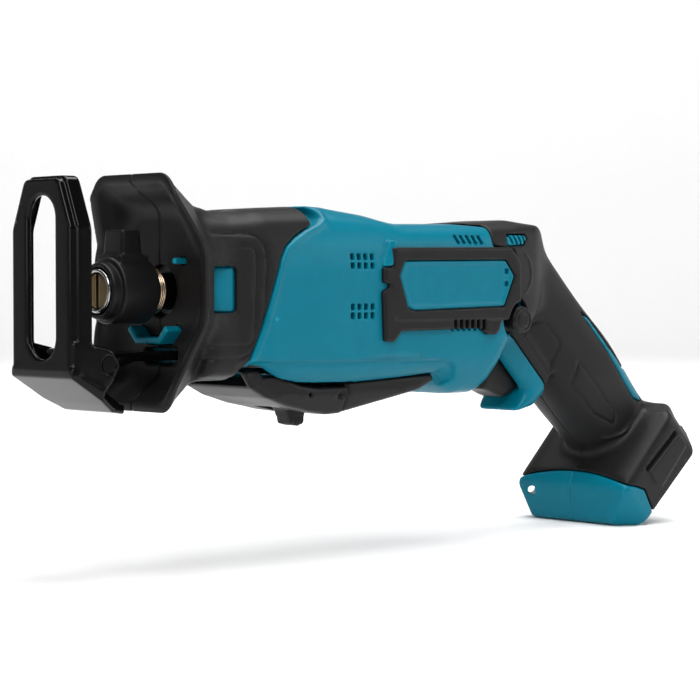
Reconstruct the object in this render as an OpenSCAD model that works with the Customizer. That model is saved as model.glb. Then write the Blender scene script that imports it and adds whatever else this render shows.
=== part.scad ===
// Compact one-handed reciprocating saw: motor housing along X, slanted pistol handle, battery foot.
// The blade points to -X. The origin is on the spindle axis, at the front face of the clamp sleeve.

/* [Spindle and clamp] */
// Length of the stroke
stroke = 13; // [10:0.5:15]
// Radius of the spindle rod
rod_r = 7; // [6:0.25:8]
// Radius of the clamp head at the front of the spindle
head_r = 8.5; // [8:0.1:9.5]
// Length of the clamp head
head_len = 15; // [12:0.5:18]
// Length of the clamp sleeve
sleeve_len = 17; // [14:0.5:20]
// Thickness of the clamp sleeve wall
sleeve_wall = 4; // [3:0.25:5]
// Height of the release lug above the sleeve
lug_h = 10.5; // [8:0.5:12]
// Thickness of the blade slot
blade_slot_t = 1.6; // [1.2:0.1:2.4]
// Height of the blade slot
blade_slot_h = 13; // [10:0.5:14]
// Radius of the clamp spring coil
spring_r = 9.4; // [9:0.1:10.5]

/* [Shoe] */
// Half width of the shoe plate
shoe_hw = 19.7; // [18:0.1:24]
// Height of the shoe plate above the spindle axis
shoe_top = 42.4; // [38:0.2:48]
// Depth of the fold line below the spindle axis
shoe_fold = 31; // [28:0.5:34]
// Thickness of the shoe sheet
shoe_t = 2.4; // [1.8:0.1:3]
// Distance of the shoe plate in front of the origin
shoe_x = 29.5; // [27:0.5:34]
// Depth of the side flanges
flange_d = 9; // [7:0.5:11]
// Half width of the blade slot in the shoe
slot_hw = 8.5; // [7:0.25:10]
// Radius of the shoe pivot pin
shoe_pin_r = 3; // [2.5:0.1:3.5]

/* [Guard] */
// Half width of the guard rim
guard_hw = 36; // [33:0.5:40]
// Height of the guard rim above the spindle axis
guard_top = 45; // [42:0.5:50]
// Depth of the guard rim below the spindle axis
guard_bottom = 46.5; // [43:0.5:50]
// Thickness of the guard wall
guard_wall = 3; // [2.5:0.1:3.5]

/* [Gear case] */
// Number of teeth on the crank gear
gear_teeth = 44; // [40:1:46]
// Number of teeth on the pinion
pinion_teeth = 9; // [9:1:10]
// Middle radius of the crank gear's tooth ring
gear_mid_r = 20.5; // [20:0.25:21]
// Face width of the teeth
tooth_w = 4.2; // [3.5:0.1:4.4]
// Thickness of the gear case wall
case_wall = 3; // [2.5:0.1:3.5]
// Radius of the crank pin
crank_pin_r = 3; // [2.5:0.1:3.5]
// Outer radius of the crank roller
roller_r = 4.5; // [4:0.1:5]

/* [Motor] */
// Radius of the motor can
motor_r = 17.8; // [16:0.1:21.4]
// Length of the motor can
motor_len = 48; // [42:1:56]
// Radius of the motor shaft
shaft_r = 1.6; // [1.5:0.05:2]
// Depth of the motor axis below the spindle axis
motor_drop = 13; // [12.8:0.1:14]
// Width of the fan
fan_w = 5; // [4:0.5:6]

/* [Housing] */
// Half width of the housing
body_hw = 28.5; // [28:0.5:34.5]
// Thickness of the housing wall
wall = 2; // [1.6:0.1:2.2]
// Thickness of the soft overmould
skin = 2; // [1.5:0.1:2.4]
// Height of the housing above the motor
body_top = 28; // [26:0.5:33.6]
// Half width of the grip
grip_hw = 17; // [16:0.5:20.4]
// Depth of the grip from front to back
grip_d = 42; // [40:1:50]
// Length of the handle from its upper end to the foot
handle_len = 97; // [92:1:117]
// Half width of the foot
foot_hw = 33.3; // [31:0.5:40]
// Depth of the battery slot
slot_depth = 12; // [10:0.5:13]

/* [Switches] */
// Travel of the trigger
trigger_travel = 6; // [4:0.5:7]
// Half width of the trigger
trigger_hw = 7.5; // [6:0.5:9]
// Radius of the lock button
button_r = 5; // [4:0.25:5.5]
// Travel of the lock button
button_travel = 4; // [3:0.5:5]
// Half width of the paddle lever
paddle_hw = 20; // [18:0.5:20.5]
// Radius of the screws' shanks
screw_r = 1.6; // [1.4:0.1:1.8]

/* [Hidden] */
$fn = 64;

run_gap = 0.06;       // radial clearance of running fits
slide_gap = 0.4;      // clearance of guided and moving parts
far = 200;            // larger than any part of the tool

// Places along the spindle axis
throw = stroke / 2;
sleeve_r = head_r + 0.1 + sleeve_wall;
nose_x = sleeve_len + throw + 3.5;                   // front of the housing nose
gear_r = gear_mid_r + tooth_w / 2;
case_r = gear_r + 0.4 + case_wall;
case_x = nose_x + 23;                                // front of the gear case drum
crank_x = case_x + case_r;
boss_x = nose_x + 3;                                 // front of the gear case boss
boss_r = rod_r + 5;
bush_t = 2.5;
bush_len = 8;
fan_x = crank_x + case_r + 1;
bearing_len = 4;
motor_x = fan_x + fan_w + 0.6 + bearing_len;
motor_end = motor_x + motor_len;
endcap_len = 6;

// Heights of the crank drive
module_size = 2 * gear_mid_r / gear_teeth;           // tooth module
pinion_pitch_r = pinion_teeth * module_size / 2;
pinion_tip_r = pinion_pitch_r + 0.9 * module_size;
pitch_z = -motor_drop - pinion_pitch_r;              // height where the teeth roll
tooth_top_z = pitch_z + 0.8 * module_size;
gear_top_z = pitch_z - 1.25 * module_size;
gear_t = 6;
gear_bottom_z = gear_top_z - gear_t;
case_floor_z = gear_bottom_z - 1.6;
floor_t = 4;
case_bottom_z = case_floor_z - floor_t;
hub_r = throw + crank_pin_r + 2.5;
hub_top_z = gear_top_z + 5.9;
yoke_t = 8;
pin_top_z = -yoke_t / 2 - 0.4;                       // the crank pin ends just under the yoke
case_top_z = 9;
cover_t = 4;

// Bearing of the crank gear
gear_shaft_r = 5;
gear_bearing_r = 8;

// Housing outline, as [x, z], seen from the left side
nose_hw = body_hw - 4.5;
nose_top = body_top;
nose_bottom = -31;
joint_x = crank_x - 18;                              // where the guard's neck ends
bulge_x = crank_x + 17;
rear_x = motor_end + endcap_len + 31;                // where the overmould starts at the top
pocket_roof = case_bottom_z - 4.6;                   // roof of the paddle's pocket
body_bottom = pocket_roof - 3.4;
belly_z = body_bottom - 6;
handle_x = rear_x + 22;                              // upper end of the handle axis
handle_z = 6;
handle_angle = 45;
body_pts = [
    [joint_x, nose_bottom - 3], [joint_x + 12, body_bottom + 1.5], [joint_x + 46, body_bottom],
    [joint_x + 92, body_bottom + 3], [handle_x - 56, belly_z], [handle_x - 29, belly_z],
    [handle_x - 19, belly_z + 6], [handle_x - 16, -22], [handle_x + 6, -24],
    [handle_x + 24, handle_z + 4], [handle_x + 21, 20], [handle_x + 13, body_top - 1],
    [handle_x - 15, body_top + 2.5], [rear_x - 14, body_top], [motor_x + 21, body_top],
    [motor_x + 5, body_top + 3], [bulge_x, body_top + 6.5], [joint_x + 20, body_top + 5],
    [joint_x, body_top + 3]];

// Places in the handle's own frame: x runs across the handle to the back, -z along it to the foot
grip_back = grip_d / 2;
lip_pts = [[-32, 2], [-16, 2], [-16, -46], [-30, -47], [-41, -40], [-30.5, -37]];
foot_top = -handle_len;
foot_pts = [[-36, foot_top], [-44, foot_top - 14], [-43, foot_top - 20], [-38, foot_top - 25],
    [24, foot_top - 29], [grip_back + 4.6, foot_top - 25], [grip_back + 4.6, foot_top - 8],
    [grip_back + 1, foot_top - 2], [grip_back, foot_top]];
foot_lap = 8;                                        // how far the handle runs into the foot
neck_pts = [[-28, foot_top + 16], [-35, foot_top - 1], [-35, foot_top - foot_lap],
    [grip_back + 1, foot_top - foot_lap], [grip_back + 1, foot_top - 1], [grip_back - 1, foot_top + 14]];
slot_angle = 5.5;                                    // tilt of the battery slot to the handle's frame
slot_hw_foot = foot_hw - 7.3;
rail_w = 4;
rail_h = 3;

// Trigger and lock button, in the handle's frame
stem_top = -16;
stem_bottom = -29;
trigger_pts = [[-35, -13], [-47, -16], [-49.5, -20], [-43, -33], [-35, -35], [-34, stem_bottom],
    [-14, stem_bottom], [-14, stem_top], [-34, stem_top]];
switch_front = -14 + trigger_travel + 0.5;
plunger_r = 2;
plunger_len = trigger_travel + 4;
button_pos = [-26, -1];
button_half = 23;                                    // half length of the lock button

// Paddle lever, below the gear case
paddle_x = joint_x + 1.6;
paddle_end = paddle_x + 46;
paddle_top = pocket_roof - 3.6;
paddle_pin_pos = [paddle_end - 4, paddle_top - 4.5];
tab_pin_pos = [paddle_end - 21, paddle_top - 3.5];
small_pin_r = 1.2;
paddle_pts = [[paddle_x, paddle_top + 3.4], [paddle_x + 3, paddle_top - 1], [paddle_x + 12, paddle_top - 6.8],
    [paddle_x + 28, paddle_top - 10.3], [paddle_x + 38, paddle_top - 11.8], [paddle_end, paddle_top - 11.5],
    [paddle_end, paddle_top], [paddle_x + 14, paddle_top], [paddle_x + 4, paddle_top + 2]];

// Shoe
shoe_pin_pos = [-shoe_x + 16.5, -27];
arm_t = 3.5;
arm_z = -23;                                         // upper face of the shoe arm
arm_hw = 9;
ear_pts = [[-shoe_x, -shoe_fold], [-shoe_x, -7], [-shoe_x + flange_d, -7], [-shoe_x + flange_d + 13, -21],
    [-shoe_x + flange_d + 13, -shoe_fold - 1], [-shoe_x + 16, -shoe_fold - 7.4]];
tongue_x = 2;
shoe_low = 46;

// Screws through the housing: [x, z] in the tool's frame
function from_handle(p) = [
    handle_x + (p[0] + p[1] * -1) * cos(handle_angle),
    handle_z + (p[0] - p[1] * -1) * sin(handle_angle)];
screw_pos = [[fan_x + fan_w, body_top - 7], [motor_end + 15, body_top - 8], [handle_x - 36, belly_z + 8],
    [handle_x + 9, body_top - 13], from_handle([9, -55]), from_handle([-4, foot_top + 13])];
screw_boss_r = screw_r + 2.2;

// A side outline drawn inwards by d, for outlines that run anticlockwise or clockwise
function area2(p) = [for (i = 0, s = 0; i <= len(p); s = s + (i < len(p) ?
    p[i][0] * p[(i + 1) % len(p)][1] - p[(i + 1) % len(p)][0] * p[i][1] : 0), i = i + 1) s][len(p)];
function unit(v) = v / norm(v);
function inset(p, d) = let (n = len(p), turn = area2(p) > 0 ? 1 : -1) [for (i = [0:n - 1])
    let (a = unit(p[i] - p[(i + n - 1) % n]), b = unit(p[(i + 1) % n] - p[i]),
         na = turn * [-a[1], a[0]], nb = turn * [-b[1], b[0]])
    p[i] + d * (na + nb) / (1 + na * nb)];

module slab(pts, y0, y1) {
    translate([0, y1, 0]) rotate([90, 0, 0]) linear_extrude(y1 - y0) polygon(pts);
}
module x_rod(r, x0, x1, z = 0, y = 0) {
    translate([x0, y, z]) rotate([0, 90, 0]) cylinder(r = r, h = x1 - x0);
}
module y_rod(r, y0, y1, p = [0, 0]) {
    translate([p[0], y1, p[1]]) rotate([90, 0, 0]) cylinder(r = r, h = y1 - y0);
}
module z_rod(r, z0, z1, p = [0, 0]) {
    translate([p[0], p[1], z0]) cylinder(r = r, h = z1 - z0);
}
module box(x, y, z) {
    translate([x[0], y[0], z[0]]) cube([x[1] - x[0], y[1] - y[0], z[1] - z[0]]);
}
module in_handle() {
    translate([handle_x, 0, handle_z]) rotate([0, -handle_angle, 0]) children();
}
module one_half(side) {
    intersection() {
        children();
        box([-far, 2 * far], side < 0 ? [-far, 0] : [0, far], [-far, far]);
    }
}

// The stadium-shaped section of the grip
module grip_section(i) {
    c = grip_d / 2 - grip_hw;
    for (s = [-1, 1]) translate([s * c, 0]) circle(r = grip_hw - i);
    square([2 * c, 2 * (grip_hw - i)], center = true);
}

// Motor housing, its long edges cut by flats
module barrel(i) {
    intersection() {
        slab(inset(body_pts, i), -body_hw + i, body_hw - i);
        rotate([90, 0, 90]) linear_extrude(2 * far) polygon([for (m = [1, -1]) each [
            for (q = m > 0 ? [0:5] : [5:-1:0]) let (c = i * 0.6, e = [
                [8 - c, -far], [body_hw - 8 - c, belly_z + c], [body_hw - c - 4, body_bottom + c],
                [body_hw, -24], [body_hw, 14 - c], [8 - c, body_top + 14 - c]][q]) [m * e[0], e[1]]]]);
    }
}
// A rectangle with its corners cut, in y and z: a and b are the shares of the flats left
function cut_rect(hw, top, bottom, a, b) = [[hw, top * b], [hw * a, top], [-hw * a, top], [-hw, top * b],
    [-hw, bottom * b], [-hw * a, bottom], [hw * a, bottom], [hw, bottom * b]];
module x_plate(x0, x1, pts) {
    translate([x0, 0, 0]) rotate([90, 0, 90]) linear_extrude(x1 - x0) polygon(pts);
}
module nose(i) {
    x_plate(nose_x, joint_x + 4, cut_rect(nose_hw - i, nose_top - i, nose_bottom + i, 0.8, 0.8));
}
// The whole outer form, drawn inwards by i
module outer_form(i) {
    barrel(i);
    in_handle() {
        translate([0, 0, foot_top - foot_lap]) linear_extrude(handle_len + foot_lap) grip_section(i);
        slab(inset(lip_pts, i), -grip_hw + 3 + i, grip_hw - 3 - i);
        slab(inset(neck_pts, i), -grip_hw - 5 + i, grip_hw + 5 - i);
        slab(inset(foot_pts, i), -foot_hw + i, foot_hw - i);
    }
}
// Where the soft overmould lies
module overmould_zone() {
    slab([[handle_x - 25, far], [far * 2, far], [far * 2, -52], [handle_x + 76, -93],
        [handle_x + 45, -90], [handle_x + 8, -54], [handle_x + 10, -46], [handle_x - 15, -20],
        [handle_x - 21, -14], [handle_x - 25, 17]], -far, far);
}
module battery_slot() {
    in_handle() translate([-8, 0, foot_top - 26.5]) rotate([0, slot_angle, 0]) {
        box([-26, 60], [-slot_hw_foot, slot_hw_foot], [rail_h, slot_depth]);
        box([-26, 60], [-slot_hw_foot + rail_w, slot_hw_foot - rail_w], [-12, slot_depth]);
    }
}
module motor_space(c) {
    x_rod(motor_r + c, motor_x - 0.3, motor_end + endcap_len + 0.3, -motor_drop);
}
module case_space(c) {
    z_rod(case_r + c, case_bottom_z - c, case_top_z + cover_t + c, [crank_x, 0]);
    box([boss_x - 1, crank_x], [-boss_r - c, boss_r + c], [-boss_r - c, boss_r + c]);
    for (a = cover_screw_angles)
        z_rod(4.2 + c, -14 - c, case_top_z + cover_t + 3, cover_screw(a));
}
module trigger_space() {
    for (t = [0:1:trigger_travel + 1]) translate([t, 0, 0])
        slab(inset(trigger_pts, -slide_gap), -trigger_hw - slide_gap, trigger_hw + slide_gap);
}
module vents() {
    for (side = [-1, 1], row = [15, 9.5, -6.5, -12], k = [0:3])
        translate([motor_x - 12 + k * 3.4, side * body_hw, row]) cube([1.9, 8, 3], center = true);
    for (side = [-1, 1], k = [0:5])
        translate([motor_end + 4 + k * 3.2, side * (body_hw - 7), body_top - 7])
            cube([1.5, 16, 3.6], center = true);
}

module housing_half(side) {
    color("darkcyan") one_half(side) {
        difference() {
            union() {
                difference() {
                    union() { outer_form(skin); difference() { outer_form(0); overmould_zone(); } nose(0); }
                    difference() {
                        outer_form(skin + wall);
                        box([joint_x, paddle_end + 5], [-paddle_hw - 3, paddle_hw + 3],
                            [-far, pocket_roof + wall]);
                        in_handle() slab([[-60, foot_top + 2], [60, foot_top + 2], [60, -far], [-60, -far]],
                            -far, far);
                    }
                    difference() {
                        nose(wall);
                        box([-far, far], [-far, far], [-far, pocket_roof + wall]);
                    }
                    box([joint_x - 2, joint_x + 5], [5 - nose_hw, nose_hw - 5],
                        [pocket_roof + wall, case_top_z + cover_t + 4]);
                }
                intersection() {
                    outer_form(skin + 0.5);
                    difference() {
                        for (x = [crank_x - 10, crank_x + 14, motor_x + 8, motor_end - 8])
                            box([x, x + wall], [-far, far], [-far, far]);
                        case_space(0.1);
                        motor_space(0.1);
                    }
                }
                intersection() {
                    outer_form(skin);
                    for (p = screw_pos) y_rod(screw_boss_r, -body_hw, body_hw, p);
                }
                intersection() {
                    outer_form(skin);
                    y_rod(button_r + 2, -far, far, from_handle(button_pos));
                }
            }
            x_rod(head_r + 7, nose_x - 1, nose_x + wall + 1);
            box([nose_x - 1, boss_x + 25], [-arm_hw - slide_gap, arm_hw + slide_gap],
                [arm_z - arm_t - slide_gap, arm_z + 2]);
            slab([[joint_x - 0.5, pocket_roof + 3.4], [joint_x + 12, pocket_roof], [paddle_end + 1.5, pocket_roof],
                [paddle_end + 1.5, -far], [joint_x - 0.5, -far]], -paddle_hw - 0.6, paddle_hw + 0.6);
            for (p = screw_pos) {
                y_rod(screw_r, -body_hw + 6, far, p);
                y_rod(2 * screw_r + 0.3, screw_head_y(p), far, p);
            }
            y_rod(button_r + 0.15, -far, far, from_handle(button_pos));
            for (s = [-1, 1]) translate([0, s * (button_half + 7), 0])
                y_rod(button_r + 3.5, -10, 10, from_handle(button_pos));
            in_handle() trigger_space();
            in_handle() box([switch_front - 8, switch_front + 24], [-11.1, 11.1], [-42, -7]);
            battery_slot();
            case_space(0.1);
            motor_space(0.1);
            z_rod(6, case_bottom_z - 0.1, case_bottom_z + 1, [crank_x, 0]);
            vents();
        }
    }
}
module housing_left() housing_half(-1);
module housing_right() housing_half(1);

module overmould_half(side) {
    color("#2e2b2c") one_half(side) difference() {
        intersection() {
            difference() { outer_form(0); outer_form(skin); }
            overmould_zone();
        }
        for (s = [-1, 1]) translate([0, s * (button_half + 7), 0])
            y_rod(button_r + 3.5, -10, 10, from_handle(button_pos));
        y_rod(button_r + 0.15, -far, far, from_handle(button_pos));
        for (p = screw_pos) y_rod(2 * screw_r + 0.3, screw_head_y(p), far, p);
        in_handle() trigger_space();
        battery_slot();
    }
}
module overmould_left() overmould_half(-1);
module overmould_right() overmould_half(1);

// Flared guard around the clamp, its mouth cut back at the sides
rim_x = sleeve_len - 5;
module front_guard() {
    g = guard_wall;
    neck_x = nose_x + 20;
    color("#353233") difference() {
        union() {
            hull() {
                x_plate(rim_x, rim_x + 9, cut_rect(guard_hw, guard_top, -guard_bottom, 0.52, 0.38));
                x_plate(neck_x, neck_x + 1, cut_rect(nose_hw + g, nose_top + g, nose_bottom - g, 0.8, 0.8));
            }
            x_plate(neck_x, joint_x - 0.5, cut_rect(nose_hw + g, nose_top + g, nose_bottom - g, 0.8, 0.8));
        }
        hull() {
            x_plate(rim_x - 2, rim_x + 7, cut_rect(guard_hw - g, guard_top - g, g - guard_bottom, 0.52, 0.38));
            x_plate(nose_x + 8, nose_x + 9, cut_rect(nose_hw, nose_top, nose_bottom, 0.8, 0.8));
        }
        x_plate(nose_x - 4, joint_x, cut_rect(nose_hw, nose_top, nose_bottom, 0.8, 0.8));
        slab([[0, guard_top - 11], [rim_x + 0.1, guard_top - 11], [rim_x + 8, 18], [rim_x + 8, -16],
            [rim_x + 0.1, 13 - guard_bottom], [0, 13 - guard_bottom]], -far, far);
    }
}

// Raised frame and name panel on each side of the housing
frame_t = 2;
panel_t = 1.5;
frame_x = motor_x + 7;
frame_pts = [[frame_x, 17], [rear_x - 5, 17], [rear_x, 9], [rear_x, -13], [rear_x - 12, -13],
    [rear_x - 12, -19], [rear_x - 21, -19], [rear_x - 21, -15], [frame_x + 10, -16],
    [frame_x + 9, -20], [frame_x + 2, -20], [frame_x - 2, -2]];
panel_pts = [[frame_x + 6, 2], [frame_x + 11, 11.5], [rear_x - 10, 11.5], [rear_x - 3, 2],
    [rear_x - 8, -9], [frame_x + 13, -8.5]];
module side_frame(side) {
    color("#2e2b2c") difference() {
        slab(frame_pts, side < 0 ? -body_hw - frame_t : body_hw, side < 0 ? -body_hw : body_hw + frame_t);
        slab(panel_pts, -far, far);
    }
}
module side_frame_left() side_frame(-1);
module side_frame_right() side_frame(1);
module side_panel(side) {
    color("darkcyan") slab(inset(panel_pts, 0.05), side < 0 ? -body_hw - panel_t : body_hw,
        side < 0 ? -body_hw : body_hw + panel_t);
}
module side_panel_left() side_panel(-1);
module side_panel_right() side_panel(1);

// Fixed cover under the housing, behind the paddle
module belly_cover() {
    color("#2e2b2c") difference() {
        slab([[paddle_end + 1.6, body_bottom + 0.05], [paddle_end + 1.6, paddle_top - 11.4],
            [joint_x + 88, body_bottom - 3], [joint_x + 95, body_bottom - 0.5],
            [joint_x + 92, body_bottom + 3], [joint_x + 46, body_bottom]], -paddle_hw, paddle_hw);
        barrel(0);
    }
}

// Screws from the right-hand side, each with a cross recess
function screw_head_y(p) = p[0] - p[1] > handle_x + 30 ? grip_hw - 5 : body_hw - 12;
module screw(len) {
    difference() {
        union() { cylinder(r = 2 * screw_r, h = 2); translate([0, 0, -len]) cylinder(r = screw_r, h = len); }
        for (a = [0, 90]) rotate(a) translate([-1.6, -0.4, 0.9]) cube([3.2, 0.8, 2]);
    }
}
module housing_screws() {
    color("silver") for (p = screw_pos)
        translate([p[0], screw_head_y(p), p[1]]) rotate([-90, 0, 0])
            screw(screw_head_y(p) + (screw_head_y(p) > grip_hw ? body_hw - 14 : grip_hw - 6));
}

// Gear case: a drum for the crank gear and yoke, with a boss for the spindle bushes
cover_screw_angles = [45, -45, 145, -145];
function cover_screw(a) = [crank_x + (case_r + 1.5) * cos(a), (case_r + 1.5) * sin(a)];
module gear_case() {
    color("#b8babc") difference() {
        union() {
            z_rod(case_r, case_bottom_z, case_top_z, [crank_x, 0]);
            x_rod(boss_r, boss_x, case_x + case_wall + 1);
            box([boss_x + 3, case_x + 2], [-arm_hw + 1, arm_hw - 1], [arm_z, -boss_r + 3]);
            for (a = cover_screw_angles) z_rod(3.6, -14, case_top_z, cover_screw(a));
        }
        difference() {
            z_rod(case_r - case_wall, case_floor_z, case_top_z + 1, [crank_x, 0]);
            x_rod(boss_r, case_x, case_x + case_wall + 1);
        }
        x_rod(rod_r + bush_t, boss_x + 3, case_x + case_wall + 2);
        x_rod(rod_r + 0.5, boss_x - 1, boss_x + 4);
        x_rod(pinion_tip_r + 0.6, crank_x + gear_mid_r - tooth_w / 2 - 1, crank_x + case_r + 1, -motor_drop);
        z_rod(gear_shaft_r, case_bottom_z - 1, case_floor_z + 1, [crank_x, 0]);
        for (a = cover_screw_angles) z_rod(screw_r, -10, case_top_z + 1, cover_screw(a));
        for (x = shoe_screw_x) z_rod(screw_r, arm_z - 1, arm_z + 8, [x, 0]);
    }
}
module gear_cover() {
    color("#a9abad") difference() {
        union() {
            z_rod(case_r, case_top_z, case_top_z + cover_t, [crank_x, 0]);
            for (a = cover_screw_angles) z_rod(3.6, case_top_z, case_top_z + cover_t, cover_screw(a));
        }
        for (a = cover_screw_angles) z_rod(screw_r, case_top_z - 1, case_top_z + cover_t + 1, cover_screw(a));
        x_rod(boss_r + 0.1, boss_x, case_x + case_wall + 1.1);
    }
}
module case_screws() {
    color("silver") for (a = cover_screw_angles)
        translate([cover_screw(a)[0], cover_screw(a)[1], case_top_z + cover_t]) screw(cover_t + 8);
}
module ring_x(r0, r1, x0, x1, z = 0) {
    difference() { x_rod(r1, x0, x1, z); x_rod(r0, x0 - 1, x1 + 1, z); }
}
module front_bush() {
    color("goldenrod") ring_x(rod_r + run_gap, rod_r + bush_t, boss_x + 3, boss_x + 3 + bush_len);
}
module rear_bush() {
    color("goldenrod")
        ring_x(rod_r + run_gap, rod_r + bush_t, case_x + case_wall + 1 - bush_len, case_x + case_wall + 1);
}
module spindle_seal() {
    color("#1d1d1d") ring_x(rod_r + 0.3, rod_r + bush_t, boss_x + 3 + bush_len, boss_x + 6 + bush_len);
}
module gear_shaft() {
    color("#8d9196") z_rod(gear_shaft_r, case_bottom_z, hub_top_z - 4.9, [crank_x, 0]);
}
module ring_z(r0, r1, z0, z1, p) {
    difference() { z_rod(r1, z0, z1, p); z_rod(r0, z0 - 1, z1 + 1, p); }
}
module gear_bearing() {
    color("#c8ccd0") ring_z(gear_shaft_r, gear_bearing_r, gear_bottom_z + 0.2, hub_top_z - 4.9, [crank_x, 0]);
}
module thrust_washer() {
    color("#8d9196") ring_z(gear_shaft_r + 0.2, gear_bearing_r + 3, case_floor_z, gear_bottom_z - 0.3, [crank_x, 0]);
}

// Crank gear: a face gear whose hub carries the crank pin
crank_pos = [crank_x, throw];
module crank_gear() {
    w = PI * module_size;
    color("#7f8489") translate([crank_x, 0, 0]) difference() {
        union() {
            z_rod(gear_r, gear_bottom_z, gear_top_z);
            z_rod(hub_r, gear_top_z, hub_top_z);
            for (k = [0:gear_teeth - 1]) rotate((k + 0.5) * 360 / gear_teeth)
                translate([gear_mid_r - tooth_w / 2, 0, gear_top_z]) rotate([90, 0, 90])
                    linear_extrude(tooth_w - 0.2) polygon([[-0.25 * w, -0.5], [0.25 * w, -0.5],
                        [0.25 * w, 0], [0.1 * w, tooth_top_z - gear_top_z],
                        [-0.1 * w, tooth_top_z - gear_top_z], [-0.25 * w, 0]]);
        }
        z_rod(gear_bearing_r + run_gap, gear_bottom_z - 1, hub_top_z - 4.4);
        z_rod(crank_pin_r, hub_top_z - 5, hub_top_z + 1, [0, throw]);
    }
}
module crank_pin() { color("#c8ccd0") z_rod(crank_pin_r, hub_top_z - 4.4, pin_top_z, crank_pos); }
module crank_roller() {
    color("#9da2a6") ring_z(crank_pin_r + run_gap, roller_r, hub_top_z + 0.5, pin_top_z, crank_pos);
}

// Spindle, with the slotted clamp head in front and the yoke behind
rod_end = crank_x - throw - roller_r - throw - 0.5;
yoke_hx = roller_r + 5;
yoke_hy = throw + roller_r + 3.5;
module spindle() {
    color("#a6aaae") difference() {
        union() {
            x_rod(head_r, 0.5, head_len);
            x_rod(rod_r, head_len, rod_end);
        }
        box([-1, head_len - 3], [-blade_slot_t / 2, blade_slot_t / 2], [-blade_slot_h / 2, blade_slot_h / 2]);
        y_rod(clamp_pin_r, 0, far, [clamp_pin_x, 0]);
    }
}
module yoke() {
    slot_h = throw + 0.2;
    color("#92969a") translate([crank_x, 0, -yoke_t / 2]) difference() {
        union() {
            translate([-yoke_hx, -yoke_hy, 0]) cube([2 * yoke_hx, 2 * yoke_hy, yoke_t]);
            translate([rod_end - crank_x, -5, 0]) cube([crank_x - rod_end - roller_r - 1, 10, yoke_t]);
        }
        for (s = [-1, 1]) translate([0, s * slot_h, -1]) cylinder(r = roller_r + 0.1, h = yoke_t + 2);
        translate([-roller_r - 0.1, -slot_h, -1]) cube([2 * roller_r + 0.2, 2 * slot_h, yoke_t + 2]);
    }
}

// Blade clamp: a sleeve with a lug turns on the head and lets the pin move out
clamp_pin_r = 2;
clamp_pin_x = 8;
pin_lift = 1.2;
module clamp_sleeve() {
    color("#343132") difference() {
        union() {
            x_rod(sleeve_r, 0, sleeve_len);
            slab([[2.5, 0], [3.5, sleeve_r + lug_h - 1], [4.5, sleeve_r + lug_h], [12.5, sleeve_r + lug_h],
                [13.5, sleeve_r + lug_h - 1], [14, 0]], -6.5, 6.5);
        }
        x_rod(head_r + run_gap, -1, sleeve_len + 1);
        x_rod(head_r + pin_lift + 0.5, clamp_pin_x - clamp_pin_r - 0.4, clamp_pin_x + clamp_pin_r + 0.4);
    }
}
module clamp_pin() {
    color("silver") y_rod(clamp_pin_r - run_gap, blade_slot_t / 2 + 0.3, head_r - 0.2, [clamp_pin_x, 0]);
}
module clamp_spring() {
    wire = 0.65;
    color("#a5784f") for (k = [0:3]) translate([sleeve_len + 0.9 + k * 1.4, 0, 0]) rotate([0, 90, 0])
        rotate_extrude() translate([spring_r - wire, 0]) circle(r = wire, $fn = 16);
}
module clamp_ring() {
    color("#d5d8da") difference() {
        x_rod(head_r, -0.5, 0.5);
        x_rod(head_r - 1.4, -1, 1);
    }
}

// Motor
module motor_can() {
    color("#9a9ea2") difference() {
        x_rod(motor_r, motor_x, motor_end, -motor_drop);
        x_rod(motor_r - 1.2, motor_x + 1.5, motor_end + 1, -motor_drop);
        x_rod(bearing_r, motor_x - 1, motor_x + 2, -motor_drop);
    }
}
bearing_r = 6.5;
core_r = motor_r - 6.3;
core_x = motor_x + 8;
core_end = motor_end - 12;
module motor_magnets() {
    color("#3c3c40") difference() {
        ring_x(core_r + 0.6, motor_r - 1.2, core_x - 4, core_end + 2, -motor_drop);
        for (s = [-1, 1]) box([motor_x, motor_end], [-4, 4], s > 0 ? [-motor_drop, far] : [-far, -motor_drop]);
    }
}
module motor_endcap() {
    color("#1f1f20") difference() {
        x_rod(motor_r, motor_end, motor_end + endcap_len, -motor_drop);
        x_rod(bearing_r, motor_end + endcap_len - bearing_len, motor_end + endcap_len + 1, -motor_drop);
        x_rod(shaft_r + 0.6, motor_end - 1, motor_end + endcap_len, -motor_drop);
    }
}
module motor_bearings() {
    color("#c8ccd0") {
        ring_x(shaft_r + run_gap, bearing_r, motor_x - bearing_len + 1.5, motor_x + 1.5, -motor_drop);
        ring_x(shaft_r + run_gap, bearing_r, motor_end + endcap_len - bearing_len,
            motor_end + endcap_len, -motor_drop);
    }
}
comm_r = 5.5;
module brushes() {
    color("#4a4a4a") for (s = [-1, 1])
        box([motor_end - 6.5, motor_end], s > 0 ? [comm_r + 0.3, comm_r + 6] : [-comm_r - 6, -comm_r - 0.3],
            [-motor_drop - 2.5, -motor_drop + 2.5]);
}
module motor_shaft() {
    color("#c8ccd0")
        x_rod(shaft_r, crank_x + gear_mid_r - tooth_w / 2, motor_end + endcap_len, -motor_drop);
}
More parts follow.
